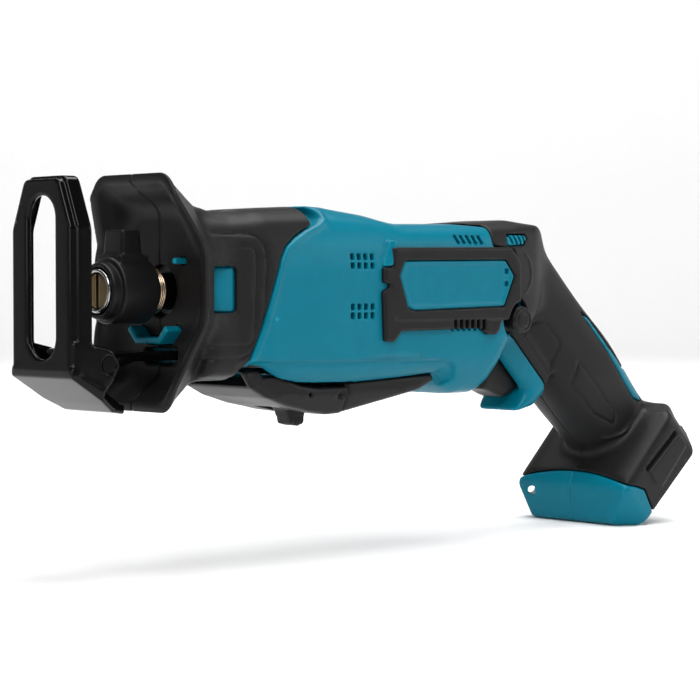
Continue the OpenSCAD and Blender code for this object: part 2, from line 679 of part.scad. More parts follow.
module pinion() {
    color("#8d9196") translate([crank_x + gear_mid_r, 0, -motor_drop]) rotate([0, 90, 0]) difference() {
        translate([0, 0, -tooth_w / 2]) linear_extrude(tooth_w) union() {
            circle(r = pinion_pitch_r - 1.15 * module_size);
            for (k = [0:pinion_teeth - 1]) rotate(k * 360 / pinion_teeth) {
                w = PI * module_size;
                polygon([[1, -0.2 * w], [pinion_pitch_r - module_size, -0.24 * w],
                    [pinion_pitch_r, -0.19 * w], [pinion_tip_r, -0.07 * w], [pinion_tip_r, 0.07 * w],
                    [pinion_pitch_r, 0.19 * w], [pinion_pitch_r - module_size, 0.24 * w], [1, 0.2 * w]]);
            }
        }
        cylinder(r = shaft_r, h = 3 * tooth_w, center = true);
    }
}
fan_r = motor_r - 2;
module fan() {
    color("#3a3a3c") translate([fan_x, 0, -motor_drop]) rotate([0, 90, 0]) difference() {
        union() {
            cylinder(r = 6, h = fan_w);
            translate([0, 0, fan_w - 1]) cylinder(r = fan_r, h = 1);
            for (k = [0:10]) rotate(k * 360 / 11) translate([5, -0.6, 0.4]) cube([fan_r - 5.5, 1.2, fan_w - 1]);
        }
        translate([0, 0, -1]) cylinder(r = shaft_r, h = fan_w + 2);
    }
}
module armature() {
    color("#75604d") translate([core_x, 0, -motor_drop]) rotate([0, 90, 0]) difference() {
        cylinder(r = core_r, h = core_end - core_x);
        for (k = [0:4]) rotate(36 + k * 72) translate([core_r - 5, -0.8, -1]) cube([6, 1.6, core_end - core_x + 2]);
        translate([0, 0, -1]) cylinder(r = shaft_r, h = core_end - core_x + 2);
    }
}
module commutator() {
    color("#b87333") ring_x(shaft_r, comm_r, core_end + 2, motor_end - 0.5, -motor_drop);
}

// Switch and its controls
module switch_body() {
    color("#1f1f20") in_handle() difference() {
        box([switch_front, switch_front + 22], [-10, 10], [-41, -8]);
        translate([switch_front - 1, 0, (stem_top + stem_bottom) / 2]) rotate([0, 90, 0])
            cylinder(r = plunger_r + 0.3, h = plunger_len + 3);
    }
}
module trigger() {
    color("#2e2b2c") in_handle() {
        slab(trigger_pts, -trigger_hw, trigger_hw);
        translate([-15, 0, (stem_top + stem_bottom) / 2]) rotate([0, 90, 0])
            cylinder(r = plunger_r, h = plunger_len + 1);
    }
}
module lock_button() {
    color("#262424") y_rod(button_r, -button_half - 2, button_half - 2, from_handle(button_pos));
}
tab_slot = [paddle_end - 27, paddle_end - 6.5];
module paddle() {
    color("#2e2b2c") difference() {
        slab(paddle_pts, -paddle_hw, paddle_hw);
        box(tab_slot, [-5.6, 5.6], [-far, 0]);
        y_rod(small_pin_r + run_gap, -far, far, paddle_pin_pos);
        y_rod(small_pin_r, -paddle_hw + 2, paddle_hw - 2, tab_pin_pos);
        z_rod(3.4, paddle_top - 4, 0, [paddle_x + 18, 0]);
    }
}
module paddle_pin() { color("silver") y_rod(small_pin_r, -paddle_hw - 0.6, paddle_hw + 0.6, paddle_pin_pos); }
tab_x = tab_pin_pos[0];
tab_z = tab_pin_pos[1];
module lock_tab() {
    color("#1f1d1e") difference() {
        slab([[tab_x - 2.5, tab_z - 2], [tab_x - 2, tab_z + 2.3], [tab_x + 3, tab_z + 2.3], [tab_x + 8, tab_z - 3],
            [tab_x + 12.5, tab_z - 7], [tab_x + 12, tab_z - 12.5], [tab_x + 9, tab_z - 13.5],
            [tab_x + 5, tab_z - 12.5], [tab_x + 3, tab_z - 7]], -5, 5);
        y_rod(small_pin_r + run_gap, -far, far, tab_pin_pos);
    }
}
module lock_tab_pin() {
    color("silver") y_rod(small_pin_r, -paddle_hw + 2, paddle_hw - 2, tab_pin_pos);
}
module paddle_spring() {
    wire = 0.5;
    color("silver") for (k = [0:3]) translate([paddle_x + 18, 0, paddle_top - 3.4 + k * 1.6])
        rotate_extrude() translate([2.4, 0]) circle(r = wire, $fn = 12);
}

// Battery contacts in the foot
module terminal_block() {
    color("#1f1f20") in_handle() translate([-8, 0, foot_top - 26.5]) rotate([0, slot_angle, 0])
        box([-26, -18], [-15, 15], [rail_h, slot_depth]);
}
module terminals() {
    color("goldenrod") in_handle() translate([-8, 0, foot_top - 26.5]) rotate([0, slot_angle, 0])
        for (y = [-11, 0, 11]) box([-18, -6], [y - 0.4, y + 0.4], [rail_h + 2.5, rail_h + 7]);
}
module wire(points, r) {
    for (i = [0:len(points) - 2]) {
        d = points[i + 1] - points[i];
        lap = i < len(points) - 2 ? r / 2 : 0;       // carries each straight stretch into the next
        translate(points[i]) rotate([0, acos(d[2] / norm(d)), atan2(d[1], d[0])])
            cylinder(r = r, h = norm(d) + lap, $fn = 8);
    }
}
module lead_wires() {
    color("#b3262a") for (s = [-1, 1]) {
        a = from_handle([switch_front + 5, -6.4]);
        wire([[motor_end + endcap_len + 0.9, s * 10, -motor_drop], [motor_end + endcap_len + 14, s * 8, -motor_drop + 6],
            [a[0] - 12, s * 7, a[1] + 8], [a[0], s * 6, a[1]]], 1.2);
    }
}

// Shoe: a bent plate with a blade slot, side flanges and a sloped tongue
module shoe() {
    t = shoe_t;
    plate_pts = [[-shoe_hw, -shoe_fold], [shoe_hw, -shoe_fold], [shoe_hw, 24], [shoe_hw - 7, shoe_top - 1],
        [shoe_hw - 9, shoe_top], [9 - shoe_hw, shoe_top], [7 - shoe_hw, shoe_top - 1], [-shoe_hw, 24]];
    color("#161414") difference() {
        union() {
            translate([-shoe_x, 0, 0]) rotate([90, 0, 90]) linear_extrude(t) difference() {
                polygon(plate_pts);
                for (z = [-16.5, 26.5]) translate([0, z]) circle(r = slot_hw);
                translate([-slot_hw, -16.5]) square([2 * slot_hw, 43]);
            }
            translate([-shoe_x, 0, 0]) rotate([90, 0, 90]) linear_extrude(flange_d) difference() {
                polygon(plate_pts);
                polygon(inset(plate_pts, t));
                translate([-shoe_hw + t, -shoe_fold - 1]) square([2 * shoe_hw - 2 * t, 10]);
            }
            for (s = [-1, 1]) slab(ear_pts, s > 0 ? shoe_hw - t : -shoe_hw, s > 0 ? shoe_hw : -shoe_hw + t);
            intersection() {
                slab([[-shoe_x, -shoe_fold], [-shoe_x + t, -shoe_fold + t / 2], [tongue_x - 3, -shoe_low + t + 0.6],
                    [tongue_x, -shoe_low + 4], [tongue_x + 1, -shoe_low + 1.6], [tongue_x - 2, -shoe_low - 0.2],
                    [-8, 1 - shoe_low]], -shoe_hw, shoe_hw);
                linear_extrude(2 * far, center = true) polygon([[-shoe_x - 1, -shoe_hw], [-shoe_x + 14, -shoe_hw],
                    [-1, -13], [tongue_x + 2, -9], [tongue_x + 2, 9], [-1, 13], [-shoe_x + 14, shoe_hw],
                    [-shoe_x - 1, shoe_hw]]);
            }
        }
        y_rod(shoe_pin_r, -far, far, shoe_pin_pos);
    }
}
module shoe_pin() { color("silver") y_rod(shoe_pin_r, -shoe_hw, shoe_hw, shoe_pin_pos); }
module shoe_arm() {
    px = shoe_pin_pos[0];
    pz = shoe_pin_pos[1];
    color("#1d1b1b") difference() {
        union() {
            slab([[case_x - 0.3, arm_z], [8, arm_z], [px + 3, pz + 3], [px - 2, pz - 3], [px + 4, pz - 4],
                [8, arm_z - arm_t], [case_x - 0.3, arm_z - arm_t]], -arm_hw, arm_hw);
            y_rod(shoe_pin_r + 2.5, -shoe_hw + shoe_t + 0.4, shoe_hw - shoe_t - 0.4, shoe_pin_pos);
        }
        y_rod(shoe_pin_r + run_gap, -far, far, shoe_pin_pos);
        for (x = shoe_screw_x) z_rod(screw_r, arm_z - far, arm_z + 1, [x, 0]);
    }
}
shoe_screw_x = [boss_x + 7, boss_x + 16];
module shoe_screws() {
    color("silver") for (x = shoe_screw_x)
        translate([x, 0, arm_z - arm_t]) rotate([180, 0, 0]) screw(arm_t + 5);
}

housing_left();
housing_right();
overmould_left();
overmould_right();
front_guard();
side_frame_left();
side_frame_right();
side_panel_left();
side_panel_right();
belly_cover();
housing_screws();
gear_case();
gear_cover();
case_screws();
front_bush();
rear_bush();
spindle_seal();
gear_shaft();
gear_bearing();
thrust_washer();
crank_gear();
crank_pin();
crank_roller();
spindle();
yoke();
clamp_sleeve();
clamp_pin();
clamp_spring();
clamp_ring();
motor_can();
motor_magnets();
motor_endcap();
motor_bearings();
brushes();
motor_shaft();
pinion();
fan();
armature();
commutator();
switch_body();
trigger();
lock_button();
paddle();
paddle_pin();
lock_tab();
lock_tab_pin();
paddle_spring();
terminal_block();
terminals();
lead_wires();
shoe();
shoe_pin();
shoe_arm();
shoe_screws();
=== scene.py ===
import math

import bpy
import numpy as np
import openvdb
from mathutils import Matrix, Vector


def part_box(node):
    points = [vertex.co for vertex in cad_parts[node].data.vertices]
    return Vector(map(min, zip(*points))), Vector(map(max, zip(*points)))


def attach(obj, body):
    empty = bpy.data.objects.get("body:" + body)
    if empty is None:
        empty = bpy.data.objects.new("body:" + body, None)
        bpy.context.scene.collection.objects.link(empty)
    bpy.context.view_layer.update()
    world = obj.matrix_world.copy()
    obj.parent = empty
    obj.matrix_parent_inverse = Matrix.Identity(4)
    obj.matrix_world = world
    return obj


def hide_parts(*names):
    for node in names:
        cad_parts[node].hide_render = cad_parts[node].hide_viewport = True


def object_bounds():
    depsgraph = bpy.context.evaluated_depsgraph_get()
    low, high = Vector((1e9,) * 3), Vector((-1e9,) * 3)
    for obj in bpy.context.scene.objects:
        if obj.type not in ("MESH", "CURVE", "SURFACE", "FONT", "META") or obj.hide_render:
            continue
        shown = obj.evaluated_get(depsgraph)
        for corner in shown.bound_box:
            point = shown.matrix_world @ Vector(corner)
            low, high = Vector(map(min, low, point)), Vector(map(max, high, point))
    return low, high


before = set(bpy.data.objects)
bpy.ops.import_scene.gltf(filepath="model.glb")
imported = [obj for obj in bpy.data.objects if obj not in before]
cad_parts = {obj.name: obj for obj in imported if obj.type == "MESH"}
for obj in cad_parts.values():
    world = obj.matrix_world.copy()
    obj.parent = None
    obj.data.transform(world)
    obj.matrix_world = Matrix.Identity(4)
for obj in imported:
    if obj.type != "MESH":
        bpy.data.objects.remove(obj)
cad_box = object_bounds()

# Shapes are fields of signed distance in mm, negative inside, worked out on a block of points.
# MM turns them into metres, in the frame's own axes: -X to the blade, +Z up, -Y the left side.
MM = 0.001
BODY_STEP = 0.6
PIECE_STEP = 0.42
FAR = 200.0
SIDES = ("left", "right")


def corners(node):
    """The lowest and highest corner of a CAD node, in mm."""
    low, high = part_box(node)
    return np.array(low) / MM, np.array(high) / MM


# ---------------------------------------------------------------- places taken from the frame
SLEEVE_LOW, SLEEVE_HIGH = corners("clamp_sleeve")
SHOE_LOW, SHOE_HIGH = corners("shoe")
GUARD_LOW, GUARD_HIGH = corners("front_guard")
PADDLE_HIGH = corners("paddle")[1]
BELLY_LOW, BELLY_HIGH = corners("belly_cover")
BUTTON_LOW, BUTTON_HIGH = corners("lock_button")
TRIGGER_LOW, TRIGGER_HIGH = corners("trigger")
FRAME_LOW, FRAME_HIGH = corners("side_frame_left")
FOOT_HW = corners("housing_right")[1][1]
BODY_HW = -FRAME_HIGH[1]                 # half width of the motor housing
FRAME_HW = -FRAME_LOW[1]
SPINDLE_R = (corners("spindle")[1] - corners("spindle")[0])[2] / 2
HANDLE_X, HANDLE_Z = 219.6, 6.0          # upper end of the handle's axis
HANDLE_COS = math.cos(math.radians(45))  # the handle slants down at 45 degrees
BUTTON_X, BUTTON_Z = (BUTTON_LOW[0] + BUTTON_HIGH[0]) / 2, (BUTTON_LOW[2] + BUTTON_HIGH[2]) / 2
BUTTON_R = (BUTTON_HIGH[0] - BUTTON_LOW[0]) / 2
KNOB_R = BUTTON_R + 1.2                  # the button's cap on the left side
RECESS_X, RECESS_Z, RECESS_R = BUTTON_X - 3.2, BUTTON_Z + 0.5, 7.6   # the hollow round the button
RING_R = corners("clamp_ring")[1][2]
RING_BORE = RING_R - 1.6
NOSE = 4.0                               # how far the clamp's ring stands in front of the sleeve
PIN_LOW, PIN_HIGH = corners("paddle_pin")
PIN_X, PIN_Z = (PIN_LOW[0] + PIN_HIGH[0]) / 2, (PIN_LOW[2] + PIN_HIGH[2]) / 2
TAB_LOW, TAB_HIGH = corners("lock_tab_pin")
TAB_X, TAB_Z = (TAB_LOW[0] + TAB_HIGH[0]) / 2, (TAB_LOW[2] + TAB_HIGH[2]) / 2
CASE_X = 76.0                            # the round gear case's upright axis
CASE_R = corners("gear_cover")[1][1] + 0.2
PIVOT_X, PIVOT_Z, PIVOT_R = -13.0, -27.0, 3.05   # the shoe's pivot and its bore

# ---------------------------------------------------------------- fields


class Block:
    """Points in a box in mm. With fold set, the left half stands for both sides through |y|."""

    def __init__(self, low, high, step, fold=True):
        self.low, self.step = np.array(low, np.float64), step
        count = [int(math.ceil((b - a) / step)) + 1 for a, b in zip(low, high)]
        axes = [np.float32(a) + np.float32(step) * np.arange(n, dtype=np.float32) for a, n in zip(low, count)]
        self.shape = tuple(count)
        self.x, self.y, self.z = axes[0][:, None, None], axes[1][None, :, None], axes[2][None, None, :]
        self.a = np.abs(self.y) if fold else self.y
        dx, dz = self.x - HANDLE_X, self.z - HANDLE_Z
        self.p, self.q = (dx + dz) * HANDLE_COS, (dz - dx) * HANDLE_COS   # across and along the handle


def outline(u, v, points):
    """Distance in a plane to a closed outline."""
    u, v = np.broadcast_arrays(u, v)
    near = np.full(u.shape, 1e9, np.float32)
    inside = np.zeros(u.shape, bool)
    for (ax, ay), (bx, by) in zip(points, points[1:] + points[:1]):
        ex, ey = bx - ax, by - ay
        t = np.clip(((u - ax) * ex + (v - ay) * ey) / (ex * ex + ey * ey), 0, 1)
        near = np.minimum(near, (u - ax - t * ex) ** 2 + (v - ay - t * ey) ** 2)
        if ay != by:
            inside ^= ((ay > v) != (by > v)) & (u < ex * (v - ay) / ey + ax)
    return np.where(inside, -1, 1).astype(np.float32) * np.sqrt(near)


def soften(field, step, radius):
    """Rounds the corners of a plane field: a weighted mean over about the radius along each axis."""
    half = max(1, int(round(radius / step)))
    kernel = np.hanning(2 * half + 3)[1:-1]
    kernel /= kernel.sum()
    for axis in range(3):
        if field.shape[axis] > 1:
            wide = np.pad(field, [(half, half) if k == axis else (0, 0) for k in range(3)], mode="reflect",
                          reflect_type="odd")
            size = field.shape[axis]
            field = sum(w * np.take(wide, range(i, i + size), axis) for i, w in enumerate(kernel))
    return field.astype(np.float32)


def join(a, b, r=0.01):
    """Both shapes, with a fillet of about r where they meet."""
    h = np.maximum(r - np.abs(a - b), 0)
    return np.minimum(a, b) - h * h / (4 * r)


def meet(a, b, r=0.01):
    """What the two shapes share, with its new edges rounded by about r."""
    h = np.maximum(r - np.abs(a - b), 0)
    return np.maximum(a, b) + h * h / (4 * r)


def cut(a, b, r=0.01):
    """The first shape without the second."""
    return meet(a, -b, r)


def step_up(t):
    """A smooth rise from 0 to 1 as t goes from 0 to 1."""
    t = np.clip(t, 0, 1)
    return t * t * (3 - 2 * t)


def rod(u, v, r, along=None, start=0.0, end=0.0, round_off=0.6):
    """A round bar: u and v are the distances from its axis."""
    side = np.sqrt(u * u + v * v) - r
    if along is None:
        return side
    return meet(side, np.abs(along - (start + end) / 2) - (end - start) / 2, round_off)


def brick(block, x, y, z, round_off=0.4):
    """A block with rounded edges: each side is a pair, low and high."""
    sides = [np.abs(c - (lo + hi) / 2) - (hi - lo) / 2 for c, (lo, hi) in
             zip((block.x, block.a, block.z), (x, y, z))]
    return meet(meet(sides[0], sides[2], round_off), sides[1], round_off)


def look_up(field, at):
    """The field between its points."""
    top = np.array(field.shape) - 1.001
    at = np.clip(at, 0, top)
    base = at.astype(int)
    part = at - base
    total = 0
    for i in (0, 1):
        for j in (0, 1):
            for k in (0, 1):
                w = np.prod(np.where([i, j, k], part, 1 - part), axis=1)
                total = total + w * field[base[:, 0] + i, base[:, 1] + j, base[:, 2] + k]
    return total


def surface(name, block, field, body, nodes, paint, mirror=False):
    """Makes the surface of a field into a piece. Its normals are the field's own slope."""
    field = np.broadcast_to(field, block.shape)
    band = 3 * block.step
    volume = openvdb.FloatGrid(band)
    volume.copyFromArray(np.ascontiguousarray(np.clip(field, -band, band), dtype=np.float32))
    at, triangles, quads = volume.convertToPolygons(isovalue=0.0, adaptivity=0.04)
    at = np.array(at, np.float64)
    for _ in range(2):
        slope = np.stack([look_up(field, at + e) - look_up(field, at - e)
                          for e in 0.5 * np.eye(3)], axis=1)
        size = np.maximum((slope ** 2).sum(1, keepdims=True), 1e-6)
        off = look_up(field, at)[:, None] * slope / size
        at = at - np.clip(off, -0.4, 0.4)
    normal = slope / np.sqrt(size)
    at = (block.low + at * block.step) * MM
    if mirror:
        at[:, 1] *= -1
        normal[:, 1] *= -1
    faces = [np.array(f, np.int64).reshape(-1, n) for f, n in ((triangles, 3), (quads, 4))]
    corner = np.concatenate([f.ravel() for f in faces])
    counts = np.concatenate([np.full(len(f), n) for f, n in zip(faces, (3, 4))])
    starts = np.concatenate([[0], np.cumsum(counts)[:-1]])
    first = at[corner[starts]]
    around = np.cross(at[corner[starts + 1]] - first, at[corner[starts + 2]] - first)
    if (around * normal[corner[starts]]).sum() < 0:
        faces = [f[:, ::-1] for f in faces]
        corner = np.concatenate([f.ravel() for f in faces])
    mesh = bpy.data.meshes.new(name)
    mesh.vertices.add(len(at))
    mesh.vertices.foreach_set("co", at.ravel())
    mesh.loops.add(len(corner))
    mesh.loops.foreach_set("vertex_index", corner.astype(np.int32))
    mesh.polygons.add(len(counts))
    mesh.polygons.foreach_set("loop_start", starts.astype(np.int32))
    mesh.polygons.foreach_set("use_smooth", np.ones(len(counts), bool))
    mesh.update(calc_edges=True)
    mesh.validate()
    mesh.normals_split_custom_set_from_vertices(normal.astype(np.float32))
    place(bpy.data.objects.new(name, mesh), body, nodes, paint)


def place(piece, body, nodes, paint):
    """Puts a piece in the scene, on its body, in place of the CAD nodes that it stands for."""
    bpy.context.scene.collection.objects.link(piece)
    piece.data.materials.append(paint)
    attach(piece, body)
    if nodes:
        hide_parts(*nodes)


# ---------------------------------------------------------------- materials


def material(name, slot, colour, rough, metal=0.0, coat=0.0, grain=0.0, grain_size=0.4, vary=0.12, wear=None,
             shine=0.5):
    """Moulded or metal finish: fine grain in the bump, patches in gloss and colour, pale worn edges."""
    paint = bpy.data.materials.new(name)
    paint.use_nodes = True
    paint["slot"] = slot
    nodes, links = paint.node_tree.nodes, paint.node_tree.links
    shader = nodes["Principled BSDF"]
    shader.inputs["Metallic"].default_value = metal
    shader.inputs["Specular IOR Level"].default_value = shine
    shader.inputs["Coat Weight"].default_value = coat
    shader.inputs["Coat Roughness"].default_value = 0.06
    where = nodes.new("ShaderNodeTexCoord")

    def noise(size, detail):
        texture = nodes.new("ShaderNodeTexNoise")
        texture.inputs["Scale"].default_value = 1 / (size * MM)
        texture.inputs["Detail"].default_value = detail
        links.new(where.outputs["Object"], texture.inputs["Vector"])
        return texture

    def spread(source, low, high):
        scale = nodes.new("ShaderNodeMapRange")
        scale.inputs["From Min"].default_value = 0.3
        scale.inputs["From Max"].default_value = 0.7
        scale.inputs["To Min"].default_value = low
        scale.inputs["To Max"].default_value = high
        links.new(source, scale.inputs["Value"])
        return scale.outputs["Result"]

    patches = noise(24, 3)
    gloss = spread(patches.outputs["Fac"], rough * (1 - vary), rough * (1 + vary))
    links.new(gloss, shader.inputs["Roughness"])
    tint = nodes.new("ShaderNodeMix")
    tint.data_type = "RGBA"
    tint.inputs["A"].default_value = (*[c * (1 - vary / 2) for c in colour], 1)
    tint.inputs["B"].default_value = (*[c * (1 + vary / 2) for c in colour], 1)
    links.new(spread(noise(6, 4).outputs["Fac"], 0.0, 1.0), tint.inputs["Factor"])
    shown = tint.outputs["Result"]
    if wear:
        edge = nodes.new("ShaderNodeNewGeometry")
        sharp = nodes.new("ShaderNodeMapRange")
        sharp.inputs["From Min"].default_value = 0.53
        sharp.inputs["From Max"].default_value = 0.62
        links.new(edge.outputs["Pointiness"], sharp.inputs["Value"])
        rubbed = nodes.new("ShaderNodeMix")
        rubbed.data_type = "RGBA"
        rubbed.inputs["B"].default_value = (*wear, 1)
        links.new(sharp.outputs["Result"], rubbed.inputs["Factor"])
        links.new(shown, rubbed.inputs["A"])
        shown = rubbed.outputs["Result"]
    links.new(shown, shader.inputs["Base Color"])
    if grain:
        bump = nodes.new("ShaderNodeBump")
        bump.inputs["Strength"].default_value = grain
        bump.inputs["Distance"].default_value = 0.00012
        links.new(noise(grain_size, 2).outputs["Fac"], bump.inputs["Height"])
        links.new(bump.outputs["Normal"], shader.inputs["Normal"])
    return paint


TEAL = material("teal_plastic", "teal_plastic", (0.0, 0.13, 0.19), 0.33, grain=0.25, grain_size=0.5,
                vary=0.08, wear=(0.01, 0.24, 0.33), shine=0.12)
RUBBER = material("soft_black", "soft_black", (0.0075, 0.007, 0.0072), 0.46, grain=0.4, grain_size=0.35,
                  wear=(0.02, 0.0188, 0.0192), shine=0.16)
PLASTIC = material("black_plastic", "black_plastic", (0.0065, 0.006, 0.0062), 0.38, grain=0.3,
                   grain_size=0.45, wear=(0.018, 0.0169, 0.0173), shine=0.16)
GLOSS = material("black_paint", "black_paint", (0.0016, 0.0014, 0.0013), 0.15, coat=0.1, grain=0.1,
                 grain_size=2.5, vary=0.05, shine=0.1)
STEEL = material("steel", "steel", (0.42, 0.42, 0.43), 0.3, metal=1.0, grain=0.3, grain_size=0.3)
CHROME = material("bright_ring", "steel", (0.36, 0.36, 0.37), 0.16, metal=1.0, grain=0.05, grain_size=0.6)
ALLOY = material("cast_alloy", "cast_alloy", (0.1, 0.1, 0.105), 0.5, metal=1.0, grain=0.8, grain_size=0.8)
BRONZE = material("bronze", "bronze", (0.17, 0.125, 0.06), 0.38, metal=1.0, grain=0.4, grain_size=0.3)
OILED = material("oiled_steel", "steel", (0.05, 0.045, 0.04), 0.3, metal=1.0, grain=0.3, grain_size=0.4)
FERRITE = material("magnet", "magnet", (0.03, 0.03, 0.033), 0.6, grain=0.5, grain_size=0.5)
COPPER = material("copper", "copper", (0.55, 0.27, 0.13), 0.33, metal=1.0, grain=0.3, grain_size=0.5)
SPRING = material("spring_wire", "steel", (0.6, 0.45, 0.32), 0.25, metal=1.0, grain=0.2, grain_size=0.3)
RED = material("wire_red", "wire_red", (0.35, 0.012, 0.015), 0.45, grain=0.2, grain_size=0.4)

# ---------------------------------------------------------------- the outer form

BODY = [(26, -35.4), (46.4, -35.4), (47.8, -31.6), (57, -31.2), (66, -36.4), (77, -38.8), (101, -39.6),
        (132, -38), (156, -36), (160, -40.5), (166, -44), (179, -44), (184, -39.5), (191.4, -27), (196, -21),
        (206, -19.5), (217, -12), (235, 3), (243.6, 12), (242.5, 17), (240, 21.5), (232.6, 27.3),
        (204.6, 30.3), (184, 28.8), (160, 27.8), (133.6, 27.4), (117.6, 31), (96, 34), (80, 33.3), (58, 32),
        (26, 32)]
SECTION = [(-20, 46), (7, 42), (16, 35.5), (23.5, 27), (27.3, 18.5), (BODY_HW, 10), (BODY_HW, -30.5),
           (25.5, -39), (20.5, -47), (8, -54), (-20, -54)]
LIP = [(-34.5, 4), (-16, 4), (-16, -44), (-28, -46.3), (-36, -45.4), (-44.5, -40), (-45.5, -38.2),
       (-41, -37.4), (-36.5, -36.6), (-34.5, -35)]
FOOT = [(-36, -98.5), (-46.4, -110.8), (-46.4, -113), (-39.4, -120.6), (24, -126), (28, -121), (28.5, -115),
        (21.3, -105), (10, -98), (-30, -96.5)]
BOOT_EDGE = [(0, 60), (64, 60), (66, 35), (80, 35), (88, 33.4), (90, 31), (89.5, 28.8), (86.5, 26.8),
             (78.5, 23.8), (71.8, 20.6), (66.6, 17), (63.7, 12.4), (60, 2), (54.4, -14), (49.5, -25),
             (47.2, -31), (46, -60), (0, -60)]
GRIP_ZONE = [(163, 60), (163, 28.6), (184.9, 27), (184.4, 18.4), (197.6, 17.4), (197.6, -8), (198.5, -19),
             (206, -18.6), (211.3, -21), (215.3, -25.3), (230.9, -40.8), (233.4, -44.7), (231.4, -49),
             (226, -52.5), (216, -64), (200, -70), (238, -78), (262.5, -83), (272, -84), (281, -86.5),
             (286, -95), (296, -112), (400, -112), (400, 60)]
SIDE_FRAME = [(122, 17.3), (192, 18.2), (198, 12), (198.4, -9), (194, -12.4), (186.4, -13), (184.6, -17.5),
              (182.7, -18.9), (177.4, -18.8), (173, -16.2), (127, -16.7), (122.8, -21), (117.4, -20.6),
              (116.4, -0.6), (120.2, 1.2), (120.4, 2.6), (116.8, 3), (116.8, 9.2), (121.8, 9.4)]
FACET = [(121.4, 20.2), (125.6, 20.2), (121.6, 9.8), (116.8, 9.8)]
NAME_PLATE = [(125.8, 6), (128.8, 12), (188.6, 12.7), (194.3, 6), (188, -7), (134, -8.3), (130.4, -6.9)]
LOW_STEP = [(44, -27.5), (105, -28.4), (151, -28.9), (157, -30), (160.4, -32.8), (161.2, -37),
            (157.8, -41.7), (156, -50), (30, -50), (30, -27)]
BOOT_BANDS = [[(10, 21.6), (50, 21.6), (53.2, 20.8), (55, 18.3), (56.2, 14.4), (54.5, -18), (51.5, -22.5),
               (44, -26), (10, -26)],
              [(10, 16.8), (50, 16.9), (51.5, 15.5), (50.4, -18.8), (48, -21), (10, -21)]]
BOOT_WINDOW = ((28.2, 42.4), (-8.3, 9.3))
TOP_WINDOW = [(194.8, 23.6), (206.9, 23.9), (208, 21.8), (206, 19.3), (193.4, 18.6)]
BACK_STRIP = [(13.5, -36), (15.5, -42), (15, -60), (16.4, -76), (23, -84), (23, -90), (14, -97), (10.5, -90),
              (11, -80), (12.2, -60)]
GRIP_PANELS = [[(-19.8, -17), (-11, -17.5), (-7.8, -20.7), (-7.1, -34.5), (-17, -40.5), (-19.9, -41)],
               [(-5, -49), (-13.7, -54.3), (-13.1, -75.4), (-8, -88), (-4.1, -85)]]
FOOT_PANEL = [(-20, -106), (6, -109), (7, -112), (6.8, -117), (-18.1, -117.4), (-20.5, -113)]
TRAY = [(-20, -20.4), (7.4, -20.4), (12.6, -15), (10.6, -13.2), (6.4, -17.8), (-20, -17.8)]
FRONT_VENTS = [(101.4 + 3.6 * k, z, 1.1, 1.3) for z in (13.4, 9.9, -6.6, -10.1) for k in range(4)]
LOWER_VENTS = [(158 + 3.4 * k, -14.6, 1.0, 2.2) for k in range(6)]
TOP_VENTS = [(163 + 3.5 * k, 21.0, 1.0, 1.9) for k in range(5)]
WINDOW_SLATS = [(196.6 + 3.0 * k, 21.4, 0.8, 1.9) for k in range(4)]
PLATE_HOLES = [(189.7, z, 1.1, 1.1) for z in (8, 2.6)]
SKIN = 2.9                               # depth of the soft skins
LEVER_HW = 21.5                          # half width of the paddle lever and the cover behind it
SCREW_HEAD, HEAD_R, SHANK_R = 2.2, 3.0, 1.5   # a housing screw: height and radius of its head, shank
SCREW_LENGTH = 24.0
SEAT_R = HEAD_R + 0.6
WALL = 5.2                               # from the outer form to the hollow inside
GAP = 0.25                               # half the line between two skins
SEAM = 0.03                              # each half stops this far from the middle


def soft(block, points, radius=1.0, handle=False):
    """An outline with rounded corners, in x and z or in the handle's p and q."""
    flat = outline(block.p, block.q, points) if handle else outline(block.x, block.z, points)
    return soften(flat, block.step, radius)


def handle_form(b):
    """The grip, oval in section, with the lip under the trigger and the battery foot."""
    p, q, a = b.p, b.q, b.a
    swell = 1.2 * np.exp(-((q + 62) / 20) ** 2)
    grip = meet(np.abs(p - 0.6) - (20.4 + swell), a - (16.2 + swell), 17)
    grip = meet(grip, np.maximum(q - 6, -108 - q), 4)
    lip = meet(soft(b, LIP, 2, handle=True), a - 13.8, 5)
    foot = meet(soft(b, FOOT, 1.0, handle=True), a - FOOT_HW, 1.6)
    foot = meet(foot, (-p - 36) * 0.62 + (a - FOOT_HW) * 0.78, 1.0)
    foot = meet(foot, (p - 9) * 0.71 + (a - FOOT_HW) * 0.71, 2.5)
    foot = meet(foot, (a - 29) * 0.5 + (q + 97) * 0.86, 3)
    return join(join(grip, lip, 3), foot, 4)


def outer_form(b):
    """The whole tool's outside without its trim: the barrel and the handle, blended."""
    side = soft(b, BODY, 2.4)
    section = soften(outline(b.a, b.z, SECTION), b.step, 3.5)
    barrel = meet(side, section, 7) + 1.0 * step_up((60 - b.x) / 10)
    barrel = meet(barrel, (b.x - 198) * 0.305 + (b.a - BODY_HW) * 0.952, 4)
    barrel = meet(barrel, (b.x - 241.5) * 0.724 + b.a * 0.69, 4)
    return join(barrel, handle_form(b), 5)


def groove(distance, depth=0.6, half_width=0.6):
    """A line sunk into a surface, wherever the distance is near nought."""
    return depth * np.exp(-(distance / half_width) ** 2)


def slots(b, boxes, inner, lean=0.0):
    """Slots cut in from the side as far as the inner field: each box is (x, z, half width, half height)."""
    total = np.float32(FAR)
    for x, z, w, h in boxes:
        total = np.minimum(total, meet(np.abs(b.x - x + lean * (b.z - z)) - w, np.abs(b.z - z) - h, 0.5))
    return meet(total, inner)


